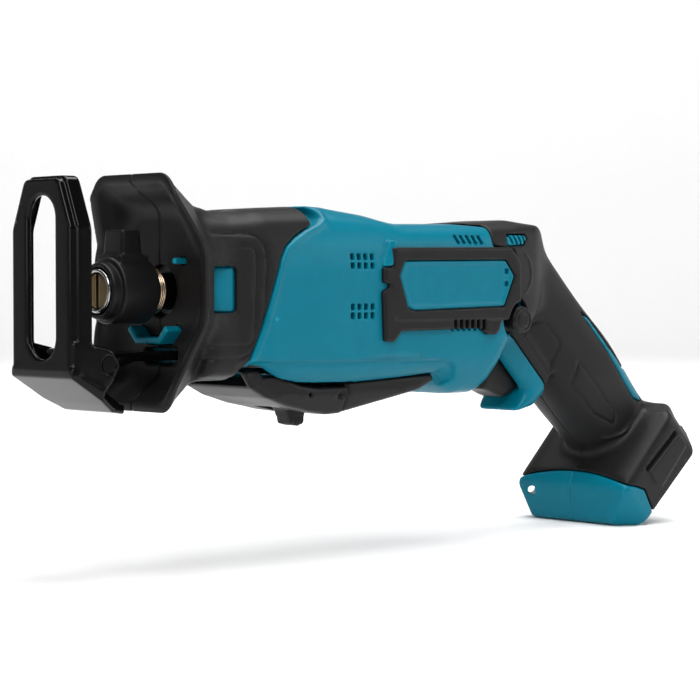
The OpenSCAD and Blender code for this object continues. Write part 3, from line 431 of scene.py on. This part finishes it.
def battery_slot(b):
    """The battery's way into the foot, wider behind than at its mouth."""
    tilt = math.radians(5.5)
    u, v = b.p + 8, b.q + 123.5
    u, v = u * math.cos(tilt) + v * math.sin(tilt), v * math.cos(tilt) - u * math.sin(tilt)
    hw = FOOT_HW - 7.3
    run = np.maximum(-26 - u, u - 60)
    wide = meet(np.maximum(run, np.abs(v - 7.5) - 4.5), b.a - hw, 0.8)
    mouth = meet(np.maximum(run, v - 12), b.a - hw + 4, 0.8)
    return np.minimum(wide, mouth)


def tray(b):
    """The lip of the housing that reaches forward under the clamp, and a small stop above it."""
    lip = meet(outline(b.a, b.z, TRAY), np.abs(b.x - 26.5) - 7, 0.8)
    return np.minimum(lip, brick(b, (21, 33), (13.4, 15.6), (10.2, 12.6), 0.6))


def shells():
    """Both housing halves and both halves of the soft overmould, from one folded block."""
    b = Block((14, -1.5, -109), (328, FOOT_HW + 1.5, 37), BODY_STEP)
    form = outer_form(b)
    low = soft(b, LOW_STEP, 1.0)
    form += (1.3 * step_up(0.5 - low / 1.2) + groove(low, 0.5, 0.5)) * step_up((b.a - 17) / 3)
    edge = soft(b, BOOT_EDGE, 1.2)
    form -= groove(edge - 1.5, 0.5, 1.0) * step_up((b.a - 8) / 6)
    zone = soft(b, GRIP_ZONE, 1.0) - 0.0045 * b.a ** 2 * step_up((b.x - 235) / 5) * step_up((-60 - b.z) / 10)
    strip = meet(soft(b, BACK_STRIP, 0.8, handle=True), 7 - b.a, 1.0)
    window = meet(soft(b, TOP_WINDOW, 0.6), 12 - b.a)
    zone = cut(cut(zone, strip, 0.8), window, 0.5)

    teal = meet(meet(form, GAP - edge, 0.9), GAP - zone, 0.9)
    pad = meet(brick(b, BOOT_WINDOW[0], (20, 40), BOOT_WINDOW[1], 1.5) + 0.3, form + 2.2, 0.8)
    hull = np.minimum(np.minimum(teal, form + SKIN + 0.3), pad)
    hull = meet(hull, 30.8 - b.x, 0.8)
    hollow = meet(form + WALL, -98 - b.q, 1.0)
    hull = cut(hull, hollow)
    hull = cut(hull, meet(rod(b.x - CASE_X, b.a, CASE_R, b.z, -30.2, 13.2), form + 1.4))
    slope = b.a - 29.4 - 0.25 * (b.x - 117) + 0.22 * (b.z - 10)
    facet = meet(soft(b, FACET, 0.4), np.maximum(slope, 24 - b.a), 0.4)
    hull = np.minimum(hull, facet)
    hull = np.minimum(hull, tray(b))
    pocket = [(45, -26.8), (62, -26.8), (72, -30.6), (82, -33.8), (90, -34.6), (PADDLE_HIGH[0] + 1.6, -34.6),
              (PADDLE_HIGH[0] + 1.6, -60), (45, -60)]
    pocket = meet(outline(b.x, b.z, pocket), b.a - LEVER_HW - 0.7, 1.5)
    belly = [(PADDLE_HIGH[0], -37), (154, -34), (154, -60), (PADDLE_HIGH[0], -60)]
    pocket = np.minimum(pocket, meet(outline(b.x, b.z, belly), b.a - LEVER_HW - 0.2, 0.8))
    slot = battery_slot(b)
    button = rod(b.x - BUTTON_X, b.z - BUTTON_Z, BUTTON_R + 0.25)
    recess = rod(b.x - RECESS_X, b.z - RECESS_Z, RECESS_R)
    button = np.minimum(button, meet(recess, 17.8 - b.a, 0.6))
    around = meet(recess - 1.6, 16 - b.a) - GAP   # wider than the recess: it is open, with no lining
    shaft = [(-52, -12), (-8, -12.5), (-8, -36), (-36, -36), (-52, -38)]
    shaft = meet(outline(b.p, b.q, shaft), b.a - 8, 0.8)
    mouth = [(-60, -11.5), (-31.2, -13.5), (-31.2, -36.2), (-60, -36.2)]
    mouth = meet(soft(b, mouth, 0.8, handle=True), b.a - 8.1, 1.0)
    for opening in (pocket, slot, button, around, shaft, mouth):
        hull = cut(hull, opening, 0.6)
    blind = np.maximum(-form - WALL + 0.8, 12 - b.a)
    hull = cut(hull, slots(b, FRONT_VENTS, 18 - b.a), 0.5)
    hull = cut(hull, slots(b, LOWER_VENTS, blind), 0.5)
    hull = cut(hull, slots(b, TOP_VENTS, blind, lean=0.35), 0.5)
    hull = cut(hull, slots(b, WINDOW_SLATS, blind, lean=0.3), 0.4)

    face = form
    for panel in GRIP_PANELS:
        face = face + groove(soft(b, panel, 0.6, handle=True), 0.5)
    crescent = np.sqrt((b.x - 202) ** 2 + (b.z - 7) ** 2) - 8.6
    face = face - groove(crescent, 0.6, 0.7) * step_up((b.x - 204) / 2) * step_up((b.a - 14) / 4)
    crescent = b.q + 95.5 - 0.03 * (b.p + 2) ** 2
    face = face - groove(crescent, 0.9, 0.8) * step_up(1 - np.abs(b.p + 9) / 12) * step_up((b.a - 8) / 4)
    foot_line = np.maximum(np.abs((b.p + 7) * 0.124 + (b.q + 106) * 0.992) - 1.2, np.abs(b.p + 7) - 13)
    face = face + 2.2 * step_up(0.5 - foot_line / 0.6) * step_up((b.a - 28) / 2)
    raised = soft(b, FOOT_PANEL, 0.8, handle=True)
    face = face - 0.7 * step_up(0.5 - raised / 0.9) * step_up((b.a - 26) / 3)
    skin = cut(meet(face, zone + GAP, 0.9), form + SKIN)
    for opening in (slot, button, around, shaft, mouth):
        skin = cut(skin, opening, 0.6)

    seats = screw_seats(b, form)
    screws(seats)
    for side in SIDES:
        screw_heads = np.float32(FAR)
        if side == "right":
            for x, z, deep in seats:
                seat = meet(rod(b.x - x, b.z - z, SEAT_R), deep - b.a, 0.6)
                screw_heads = np.minimum(screw_heads, seat)
            strap = rod((b.x - 268) * 0.72 - (b.a - 27) * 0.69, b.z + 94, 2.0)
            screw_heads = np.minimum(screw_heads, meet(strap, 22 - b.a))
        half = meet(hull, SEAM - b.y, 0.3)
        surface(side + "_housing", b, cut(half, screw_heads, 0.5), "tool", ["housing_" + side], TEAL,
                mirror=side == "left")
        half = meet(skin, SEAM - b.y, 0.3)
        surface(side + "_overmould", b, cut(half, screw_heads, 0.5), "tool", ["overmould_" + side], RUBBER,
                mirror=side == "left")


def screw_seats(b, form):
    """Where the housing screws' heads lie: x, z and the depth of the seat, sunk if the skin is lower."""
    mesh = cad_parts["housing_screws"].data
    at = np.array([v.co for v in mesh.vertices]) / MM
    heads = []
    for v in at:
        if not any(math.hypot(v[0] - h[0], v[2] - h[1]) < 8 for h in heads):
            heads.append(v[[0, 2]])
    seats = []
    for h in heads:
        near = at[np.hypot(at[:, 0] - h[0], at[:, 2] - h[1]) < 8]
        x, z = (near.min(0) + near.max(0))[[0, 2]] / 2
        column = form[int((x - b.low[0]) / b.step), :, int((z - b.low[2]) / b.step)]
        surface_at = b.y.ravel()[column < 0].max()
        seats.append((x, z, min(near[:, 1].max() - SCREW_HEAD, surface_at - SCREW_HEAD - 1.6)))
    return seats


def screws(seats):
    """The screws that hold the halves together, each with a cross in its head."""
    for i, (x, z, seat) in enumerate(seats):
        low, high = (x - 4, seat - SCREW_LENGTH - 2, z - 4), (x + 4, seat + 4, z + 4)
        b = Block(low, high, PIECE_STEP, fold=False)
        dx, dz = b.x - x, b.z - z
        head = rod(dx, dz, HEAD_R, b.y, seat, seat + SCREW_HEAD, 0.9)
        cross = np.minimum(np.maximum(np.abs(dx) - 0.45, np.abs(dz) - 1.7),
                           np.maximum(np.abs(dz) - 0.45, np.abs(dx) - 1.7))
        head = cut(head, meet(cross, seat + 0.8 - b.y), 0.2)
        shank = rod(dx, dz, SHANK_R, b.y, seat - SCREW_LENGTH, seat + 0.5)
        name = "housing_screw_%d" % (i + 1)
        surface(name, b, np.minimum(head, shank), "tool", ["housing_screws"], STEEL)


def boot():
    """The rubber boot over the nose with its flared guard, in one piece with a moulding seam."""
    b = Block((GUARD_LOW[0] - 1, GUARD_LOW[1] - 0.6, GUARD_LOW[2] - 1), (82, GUARD_HIGH[1] + 0.6, 47),
              BODY_STEP)
    form = outer_form(b)
    edge = soft(b, BOOT_EDGE, 1.2)
    grow = np.maximum(33 - b.x, 0) * 0.62 + 0.6 * np.exp(-((b.x - 33) / 2.5) ** 2)
    flats = [(1, 0, 27.6), (0.815, 0.579, 29.9), (0, 1, 31.5), (0.86, -0.51, 28.6), (0, -1, 33)]
    flare = np.float32(-FAR)
    for out_a, out_z, reach in flats:
        flare = meet(flare, out_a * b.a + out_z * b.z - reach, 3.5)
    mouth = [(0, 60), (GUARD_LOW[0], 60), (GUARD_LOW[0], 36), (20.5, 17.5), (20.5, -12), (GUARD_LOW[0], -36),
             (GUARD_LOW[0], -60), (0, -60)]
    mouth = soft(b, mouth, 1.2)
    flare = flare - grow - 0.7 * np.exp(-((mouth - 1.5) / 2.2) ** 2)
    dish = meet(flare + 4.4, b.x - 26, 5)
    flare = meet(flare, b.x - 36, 1.5)
    face = form + 1.0 * step_up((52 - b.x) / 10) * step_up((b.a - 16) / 4)
    for band in BOOT_BANDS:
        face = face + groove(soft(b, band, 1.0), 0.45, 0.5) * step_up((b.a - 12) / 4)
    whole = join(flare, meet(face, 26 - b.x), 2.5)
    whole = cut(whole, meet(form + SKIN, 30.6 - b.x))
    whole = meet(cut(whole, dish, 1.0), edge + GAP, 0.9)
    whole = cut(whole, mouth, 1.8)
    whole = cut(whole, rod(b.a, b.z, corners("clamp_spring")[1][2] + 0.5), 0.8)
    whole = cut(whole, brick(b, (0, 40), (-10, 10), (-28, -22)), 1.0)
    whole = cut(whole, tray(b) - GAP, 0.3)
    window = brick(b, BOOT_WINDOW[0], (20, 40), BOOT_WINDOW[1], 1.8)
    whole = cut(whole, window, 0.8)
    whole = whole + groove(b.a, 0.45, 0.35)
    surface("nose_boot", b, whole, "tool", ["front_guard"], RUBBER)


def side_trim():
    """The raised frame and the plain name plate on each side."""
    low, high = (116, BODY_HW - 2.5, -21), (199, FRAME_HW + 0.6, 18.5)
    for side in SIDES:
        b = Block(low, high, PIECE_STEP)
        deep = np.abs(b.a - (BODY_HW - 1.2 + FRAME_HW) / 2) - (FRAME_HW - BODY_HW + 1.2) / 2
        frame_face = soft(b, SIDE_FRAME, 0.8)
        opening = soft(b, NAME_PLATE, 0.8)
        ring = cut(meet(frame_face, deep, 1.2), opening - 0.15, 0.8)
        lower = np.maximum(np.abs(b.z + 11.4) - 0.25, np.abs(b.x - 158) - 34)
        ring = ring + groove(lower, 0.35, 0.5) * step_up((b.a - FRAME_HW + 0.6) / 0.4)
        ring = cut(ring, slots(b, LOWER_VENTS, -b.a), 0.5)
        ring = cut(ring, rod(b.x - RECESS_X, b.z - RECESS_Z, RECESS_R), 0.8)
        surface(side + "_side_frame", b, ring, "tool", ["side_frame_" + side], PLASTIC,
                mirror=side == "left")
        plate_face = meet(opening + 0.15, deep + 0.5, 0.9)
        plate_face = plate_face + 0.35 * step_up(0.5 - (opening + 1.8) / 0.8)
        plate_face = cut(plate_face, slots(b, PLATE_HOLES, FRAME_HW - 3.2 - b.a), 0.3)
        surface(side + "_name_plate", b, plate_face, "tool", ["side_panel_" + side], TEAL,
                mirror=side == "left")


def underside():
    """The paddle lever, the lock-off tab in it and the fixed cover behind it."""
    b = Block((48.5, -23, -52), (PADDLE_HIGH[0] + 1, 23, -29), PIECE_STEP)
    lever = [(50.3, -31.6), (53, -30.4), (61, -30.4), (71, -33.6), (80, -37), (88, -38.3),
             (PADDLE_HIGH[0], -38.3), (PADDLE_HIGH[0], -49.7), (97.6, -50), (87.6, -48.6), (74, -45.6),
             (63, -42), (55, -38)]
    lever = meet(soft(b, lever, 1.0), b.a - LEVER_HW - 0.5 * (b.z + 42) * (b.z < -42), 2.5)
    lever = cut(lever, meet(b.a - 18, -36.2 - b.z + 0.1 * (b.x - 60)), 0.8)
    lever = cut(lever, meet(rod(b.x - CASE_X, b.a, CASE_R + 1), -34.2 + 0.06 * (b.x - 54) - b.z), 0.8)
    lever = cut(lever, brick(b, (78.6, 99.1), (-5.6, 5.6), (-60, 0), 1.2), 0.8)
    lever = cut(lever, meet(rod(b.x - PIN_X, b.z - PIN_Z, 2.3), LEVER_HW - 0.9 - b.a), 0.5)
    lever = cut(lever, meet(rod(b.x - TAB_X, b.z - TAB_Z - 0.3, 0.9), LEVER_HW - 1.5 - b.a), 0.4)
    surface("paddle_lever", b, lever, "lever", ["paddle"], PLASTIC)

    b = Block((80, -6, -57), (100, 6, -37.5), PIECE_STEP)
    tab = [(-2.5, -2), (-2, 2.3), (3, 2.3), (8, -3), (12.5, -7), (12, -12.3), (9, -13.4), (5, -12.5), (3, -7)]
    tab = [(TAB_X + x, TAB_Z + z) for x, z in tab]
    tab = meet(soft(b, tab, 0.8), b.a - 5, 1.8)
    ribs = groove(np.mod(b.x - TAB_X, 1.8) - 0.9, 0.3, 0.3) * step_up((TAB_Z - 8 - b.z) / 1.5)
    tab = cut(tab + ribs, rod(b.x - TAB_X, b.z - TAB_Z, 1.3))
    surface("lock_off_tab", b, tab, "tab", ["lock_tab"], PLASTIC)

    b = Block((BELLY_LOW[0] - 1, -23, -52), (BELLY_HIGH[0] + 4, 23, -33), PIECE_STEP)
    cover = [(BELLY_LOW[0], -36.8), (BELLY_LOW[0], -49.6), (146, -41.4), (155, -37.6), (153, -34.6)]
    cover = meet(soft(b, cover, 0.8), b.a - LEVER_HW - 0.5 * (b.z + 42) * (b.z < -42), 2.5)
    surface("underside_cover", b, cover, "tool", ["belly_cover"], PLASTIC)


def controls():
    """The trigger, and the lock button that is pushed across, with its cap on the left."""
    b = Block((TRIGGER_LOW[0] - 1, -8.5, TRIGGER_LOW[2] - 1), (TRIGGER_HIGH[0] + 3, 8.5, TRIGGER_HIGH[2] + 3),
              PIECE_STEP)
    key = [(-31.6, -13.4), (-43, -14.6), (-48.6, -17.5), (-49.4, -20.5), (-46.6, -25), (-44.6, -30),
           (-42.4, -33.6), (-37.5, -35.6), (-31.6, -35.6)]
    key = meet(soft(b, key, 1.0, True), b.a - TRIGGER_HIGH[1], 3.4)
    stem = meet(np.maximum(np.abs(b.p + 24) - 10, np.abs(b.q + 22.5) - 6.2), b.a - TRIGGER_HIGH[1] + 0.6, 0.8)
    plunger = rod(b.a, b.q + 22.5, 2.0, b.p, -15, -3)
    surface("trigger_key", b, np.minimum(np.minimum(key, stem), plunger), "trigger", ["trigger"], PLASTIC)

    low, high = BUTTON_LOW - (2.5, 4.5, 2.5), BUTTON_HIGH + (2.5, 1, 2.5)
    b = Block(low, high, PIECE_STEP, fold=False)
    radial = np.sqrt((b.x - BUTTON_X) ** 2 + (b.z - BUTTON_Z) ** 2)
    knob = meet(radial - BUTTON_R, np.abs(b.y) - BUTTON_HIGH[1], 1.0)
    cap = meet(radial - KNOB_R, np.abs(b.y - BUTTON_LOW[1] + 0.3) - 2.9, 2.2)
    knob = join(knob, cap, 0.8)
    knob = knob + groove(radial - KNOB_R + 2.4, 0.4, 0.5) * step_up(BUTTON_LOW[1] - b.y)
    surface("lock_off_button", b, knob, "button", ["lock_button"], PLASTIC)


def shoe():
    """The pressed plate with a stepped rim, a blade slot, ears and a sloped tongue, and its arm."""
    b = Block(SHOE_LOW - 1, SHOE_HIGH + 1, PIECE_STEP)
    front, hw, top, sheet = SHOE_LOW[0], SHOE_HIGH[1], SHOE_HIGH[2], 2.4
    pane = [(-40, -31), (hw, -31), (hw, 23), (hw - 7.6, top - 1.4), (hw - 9.4, top), (-40, top)]
    pane = soften(outline(b.a, b.z, pane), b.step, 1.6)
    face = meet(pane + 1.1, np.abs(b.x - front - 2.6) - 2.6, 1.4)
    rim = meet(pane, np.abs(b.x - front - 6) - 3.2, 1.0)
    whole = join(face, rim, 0.5)
    whole = cut(whole, np.maximum(pane + sheet + 0.6, front + sheet - b.x), 1.4)
    whole = meet(whole, -30 - b.z, 0.5)
    tongue = [(front + 0.2, -28), (front + sheet, -30), (-1, -43), (1, -42.4), (2.8, -43.4), (2.8, -45),
              (0, -46.1), (-8, -45), (-14, -41.4), (front, -31.5)]
    slope = meet(soft(b, tongue, 0.7), outline(b.x, b.a, [
        (-60, -40), (-60, hw), (front + 14, hw), (-1, 12.6), (2, 9), (4, 0), (4, -40)]), 1.2)
    whole = join(whole, slope, 1.2)
    ear = [(front + 1, -31), (front + 1, -18), (front + 8, -19), (front + 18, -21.4), (front + 22, -27),
           (front + 19, -33), (front + 14, -38.4)]
    whole = join(whole, meet(soft(b, ear, 1.0), np.abs(b.a - hw + sheet / 2) - sheet / 2, 1.0), 0.8)
    blade = np.sqrt(b.a ** 2 + np.maximum(np.abs(b.z - 5) - 21.5, 0) ** 2) - 8.5
    whole = cut(whole, meet(blade, np.abs(b.x - front) - 6), 1.6)
    whole = cut(whole, rod(b.x - PIVOT_X, b.z - PIVOT_Z, PIVOT_R))
    surface("shoe_plate", b, whole, "shoe", ["shoe"], GLOSS)

    b = Block((-20, -18, -34), (50, 18, -19), PIECE_STEP)
    arm = [(49.7, -23), (8, -23), (-10, -24), (-15, -30), (-9, -31), (8, -26.5), (49.7, -26.5)]
    arm = meet(soft(b, arm, 0.5), b.a - 9, 1.0)
    arm = join(arm, rod(b.x - PIVOT_X, b.z - PIVOT_Z, 5.5, b.a, -18, 16.9), 1.0)
    arm = cut(arm, rod(b.x - PIVOT_X, b.z - PIVOT_Z, PIVOT_R + 0.01))
    surface("shoe_bracket", b, arm, "tool", ["shoe_arm"], GLOSS)


def clamp():
    """The turned sleeve with its release lug, the ring and tip in front of it, and the two springs."""
    b = Block(SLEEVE_LOW - (NOSE + 1, 1, 1), SLEEVE_HIGH + 1, PIECE_STEP)
    r, end, top = SLEEVE_HIGH[1], SLEEVE_HIGH[0], SLEEVE_HIGH[2]
    radial = np.sqrt(b.a ** 2 + b.z ** 2)
    body = meet(radial - r, np.abs(b.x - end / 2) - end / 2, 1.2)
    flange = meet(soft(b, [(1.6, 0), (1.6, r + 1), (15, r + 1), (15, 0)], 0.6), b.a - 7.4, 0.8)
    lug = soft(b, [(2.8, 0), (3.8, top), (12.4, top), (13.6, 0)], 1.0)
    lug = meet(lug, b.a - 6.3 + 0.06 * (b.z - r), 1.3)
    body = join(join(body, flange, 1.0), lug, 1.2)
    body = join(body, meet(radial - r + 1.8, np.abs(b.x) - NOSE, 1.2), 0.3)
    body = cut(body, radial - SPINDLE_R - 0.3, 0.8)
    body = cut(body, meet(radial - RING_R - 0.2, b.x - 1.2), 0.6)
    low, high = corners("clamp_pin")
    body = cut(body, meet(radial - high[1] - 1.8, np.abs(b.x - (low[0] + high[0]) / 2) - 2.4))
    surface("clamp_collar", b, body, "sleeve", ["clamp_sleeve"], PLASTIC)

    b = Block((-NOSE - 2, -RING_R - 1, -RING_R - 1), (2, RING_R + 1, RING_R + 1), PIECE_STEP)
    radial = np.sqrt(b.a ** 2 + b.z ** 2)
    ring = meet(np.abs(radial - (RING_R + RING_BORE) / 2) - (RING_R - RING_BORE) / 2,
                np.abs(b.x + NOSE / 2) - NOSE / 2 - 0.8, 1.2)
    surface("clamp_front_ring", b, ring, "spindle", ["clamp_ring"], CHROME)
    tip = meet(radial - RING_BORE + 0.1, np.abs(b.x + NOSE / 2) - NOSE / 2, 0.8)
    tip = cut(tip, meet(b.a - 0.9, b.x + NOSE - 2.5), 0.3)
    surface("spindle_tip", b, tip, "spindle", [], BRONZE)

    low, high = corners("clamp_spring")
    wire = 0.65
    coil("blade_clamp_spring", (low[0] + wire, 0, 0), (high[0] - wire, 0, 0), high[1] - wire, wire, 5,
         "spindle", "clamp_spring", SPRING)
    low, high = corners("paddle_spring")
    middle = (low + high) / 2
    coil("lever_return_spring", (middle[0], 0, low[2] + 0.5), (middle[0], 0, high[2] - 0.5), 2.4, 0.5, 4,
         "lever", "paddle_spring", STEEL)


def coil(name, start, end, radius, wire, turns, body, node, paint):
    """A helix of wire from start to end, as a curve with a round section."""
    start, end = Vector(start), Vector(end)
    along = end - start
    across = along.orthogonal().normalized()
    third = along.normalized().cross(across)
    curve = bpy.data.curves.new(name, "CURVE")
    curve.dimensions = "3D"
    curve.bevel_depth = wire * MM
    curve.bevel_resolution = 4
    curve.use_fill_caps = True
    per_turn = 24
    count = turns * per_turn
    line = curve.splines.new("POLY")
    line.points.add(count)
    for i, point in enumerate(line.points):
        turn = 2 * math.pi * i / per_turn
        at = start + along * (i / count) + (across * math.cos(turn) + third * math.sin(turn)) * float(radius)
        point.co = (*(at * MM), 1)
    line.use_smooth = True
    place(bpy.data.objects.new(name, curve), body, [node], paint)


CAD_FINISH = {
    STEEL: ("case_screws", "shoe_screws", "gear_shaft", "gear_bearing", "thrust_washer",
            "crank_gear", "crank_pin", "crank_roller", "yoke", "clamp_pin", "motor_can", "motor_bearings",
            "motor_shaft", "pinion", "lock_tab_pin"),
    GLOSS: ("shoe_pin", "paddle_pin"),
    ALLOY: ("gear_case", "gear_cover"),
    BRONZE: ("front_bush", "rear_bush", "terminals"),
    OILED: ("spindle",),
    FERRITE: ("motor_magnets", "brushes"),
    COPPER: ("armature", "commutator"),
    RED: ("lead_wires",),
    PLASTIC: ("switch_body", "terminal_block", "motor_endcap", "fan", "spindle_seal"),
}


def finish_cad_nodes():
    """Gives each CAD node that no piece stands for its finish."""
    for paint, names in CAD_FINISH.items():
        for name in names:
            slots_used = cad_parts[name].data.materials
            slots_used.clear()
            slots_used.append(paint)


def studio():
    """A round pale floor that curves up on every side, soft lights and the camera."""
    scene = bpy.context.scene
    floor_z = cad_box[0][2]
    flat, bend, rise, around = 2.4, 0.8, 1.2, 96
    path = [(0.05, 0.0)] + [(flat + bend * math.sin(t), bend - bend * math.cos(t)) for t in
                            (math.pi / 24 * i for i in range(13))] + [(flat + bend, rise)]
    points = [(0.15 + r * math.cos(t), r * math.sin(t), floor_z + h) for r, h in path for t in
              (2 * math.pi * k / around for k in range(around))]
    faces = [(i * around + k, (i + 1) * around + k, (i + 1) * around + (k + 1) % around,
              i * around + (k + 1) % around) for i in range(len(path) - 1) for k in range(around)]
    mesh = bpy.data.meshes.new("floor")
    mesh.from_pydata(points, [], [tuple(range(around))] + faces)
    mesh.polygons.foreach_set("use_smooth", [True] * len(mesh.polygons))
    floor = bpy.data.objects.new("floor", mesh)
    scene.collection.objects.link(floor)
    mesh.materials.append(material("floor", "", (0.9, 0.9, 0.9), 0.7, vary=0.01))

    world = bpy.data.worlds.new("studio")
    world.use_nodes = True
    world.node_tree.nodes["Background"].inputs["Color"].default_value = (1, 1, 1, 1)
    world.node_tree.nodes["Background"].inputs["Strength"].default_value = 0.12
    scene.world = world
    scene.view_settings.view_transform = "Standard"

    middle = Vector((0.13, 0, 0))        # of the tool; each light is (name, place, aim, size, watts)
    lights = [("key", (-0.5, -0.9, 1.1), middle, 0.7, 14), ("top", (0.35, -0.1, 1.3), middle, 0.9, 18),
              ("front", (-1.3, -0.35, 0.25), middle, 0.5, 5), ("rear", (1.1, -0.7, 0.4), middle, 0.6, 3)]
    for turn, power in ((47, 42), (137, 6), (227, 3), (317, 6)):   # lamps on the wall, most behind
        out = Vector((math.cos(math.radians(turn)), math.sin(math.radians(turn)), 0))
        lights.append(("wall_%d" % turn, middle + out * 0.9 + Vector((0, 0, 1.6)),
                       middle + out * 2.2 + Vector((0, 0, 0.4)), 1.5, power))
    for name, at, aim, size, power in lights:
        lamp = bpy.data.lights.new(name, "AREA")
        lamp.size = size
        lamp.energy = power
        light = bpy.data.objects.new(name, lamp)
        light.location = at
        light.rotation_euler = (aim - Vector(at)).to_track_quat("-Z", "Y").to_euler()
        scene.collection.objects.link(light)

    around_z, down = -43, 1.8            # which way the camera looks, in degrees
    view = bpy.data.cameras.new("camera")
    view.lens, view.sensor_width = 113.1, 36
    view.clip_start, view.clip_end = 0.01, 20
    camera = bpy.data.objects.new("camera", view)
    camera.location = (-0.49774, -0.66886, 0.003815)
    camera.rotation_euler = (math.radians(90 - down), 0, math.radians(around_z))
    scene.collection.objects.link(camera)
    scene.camera = camera


studio()
shells()
boot()
side_trim()
underside()
controls()
shoe()
clamp()
finish_cad_nodes()
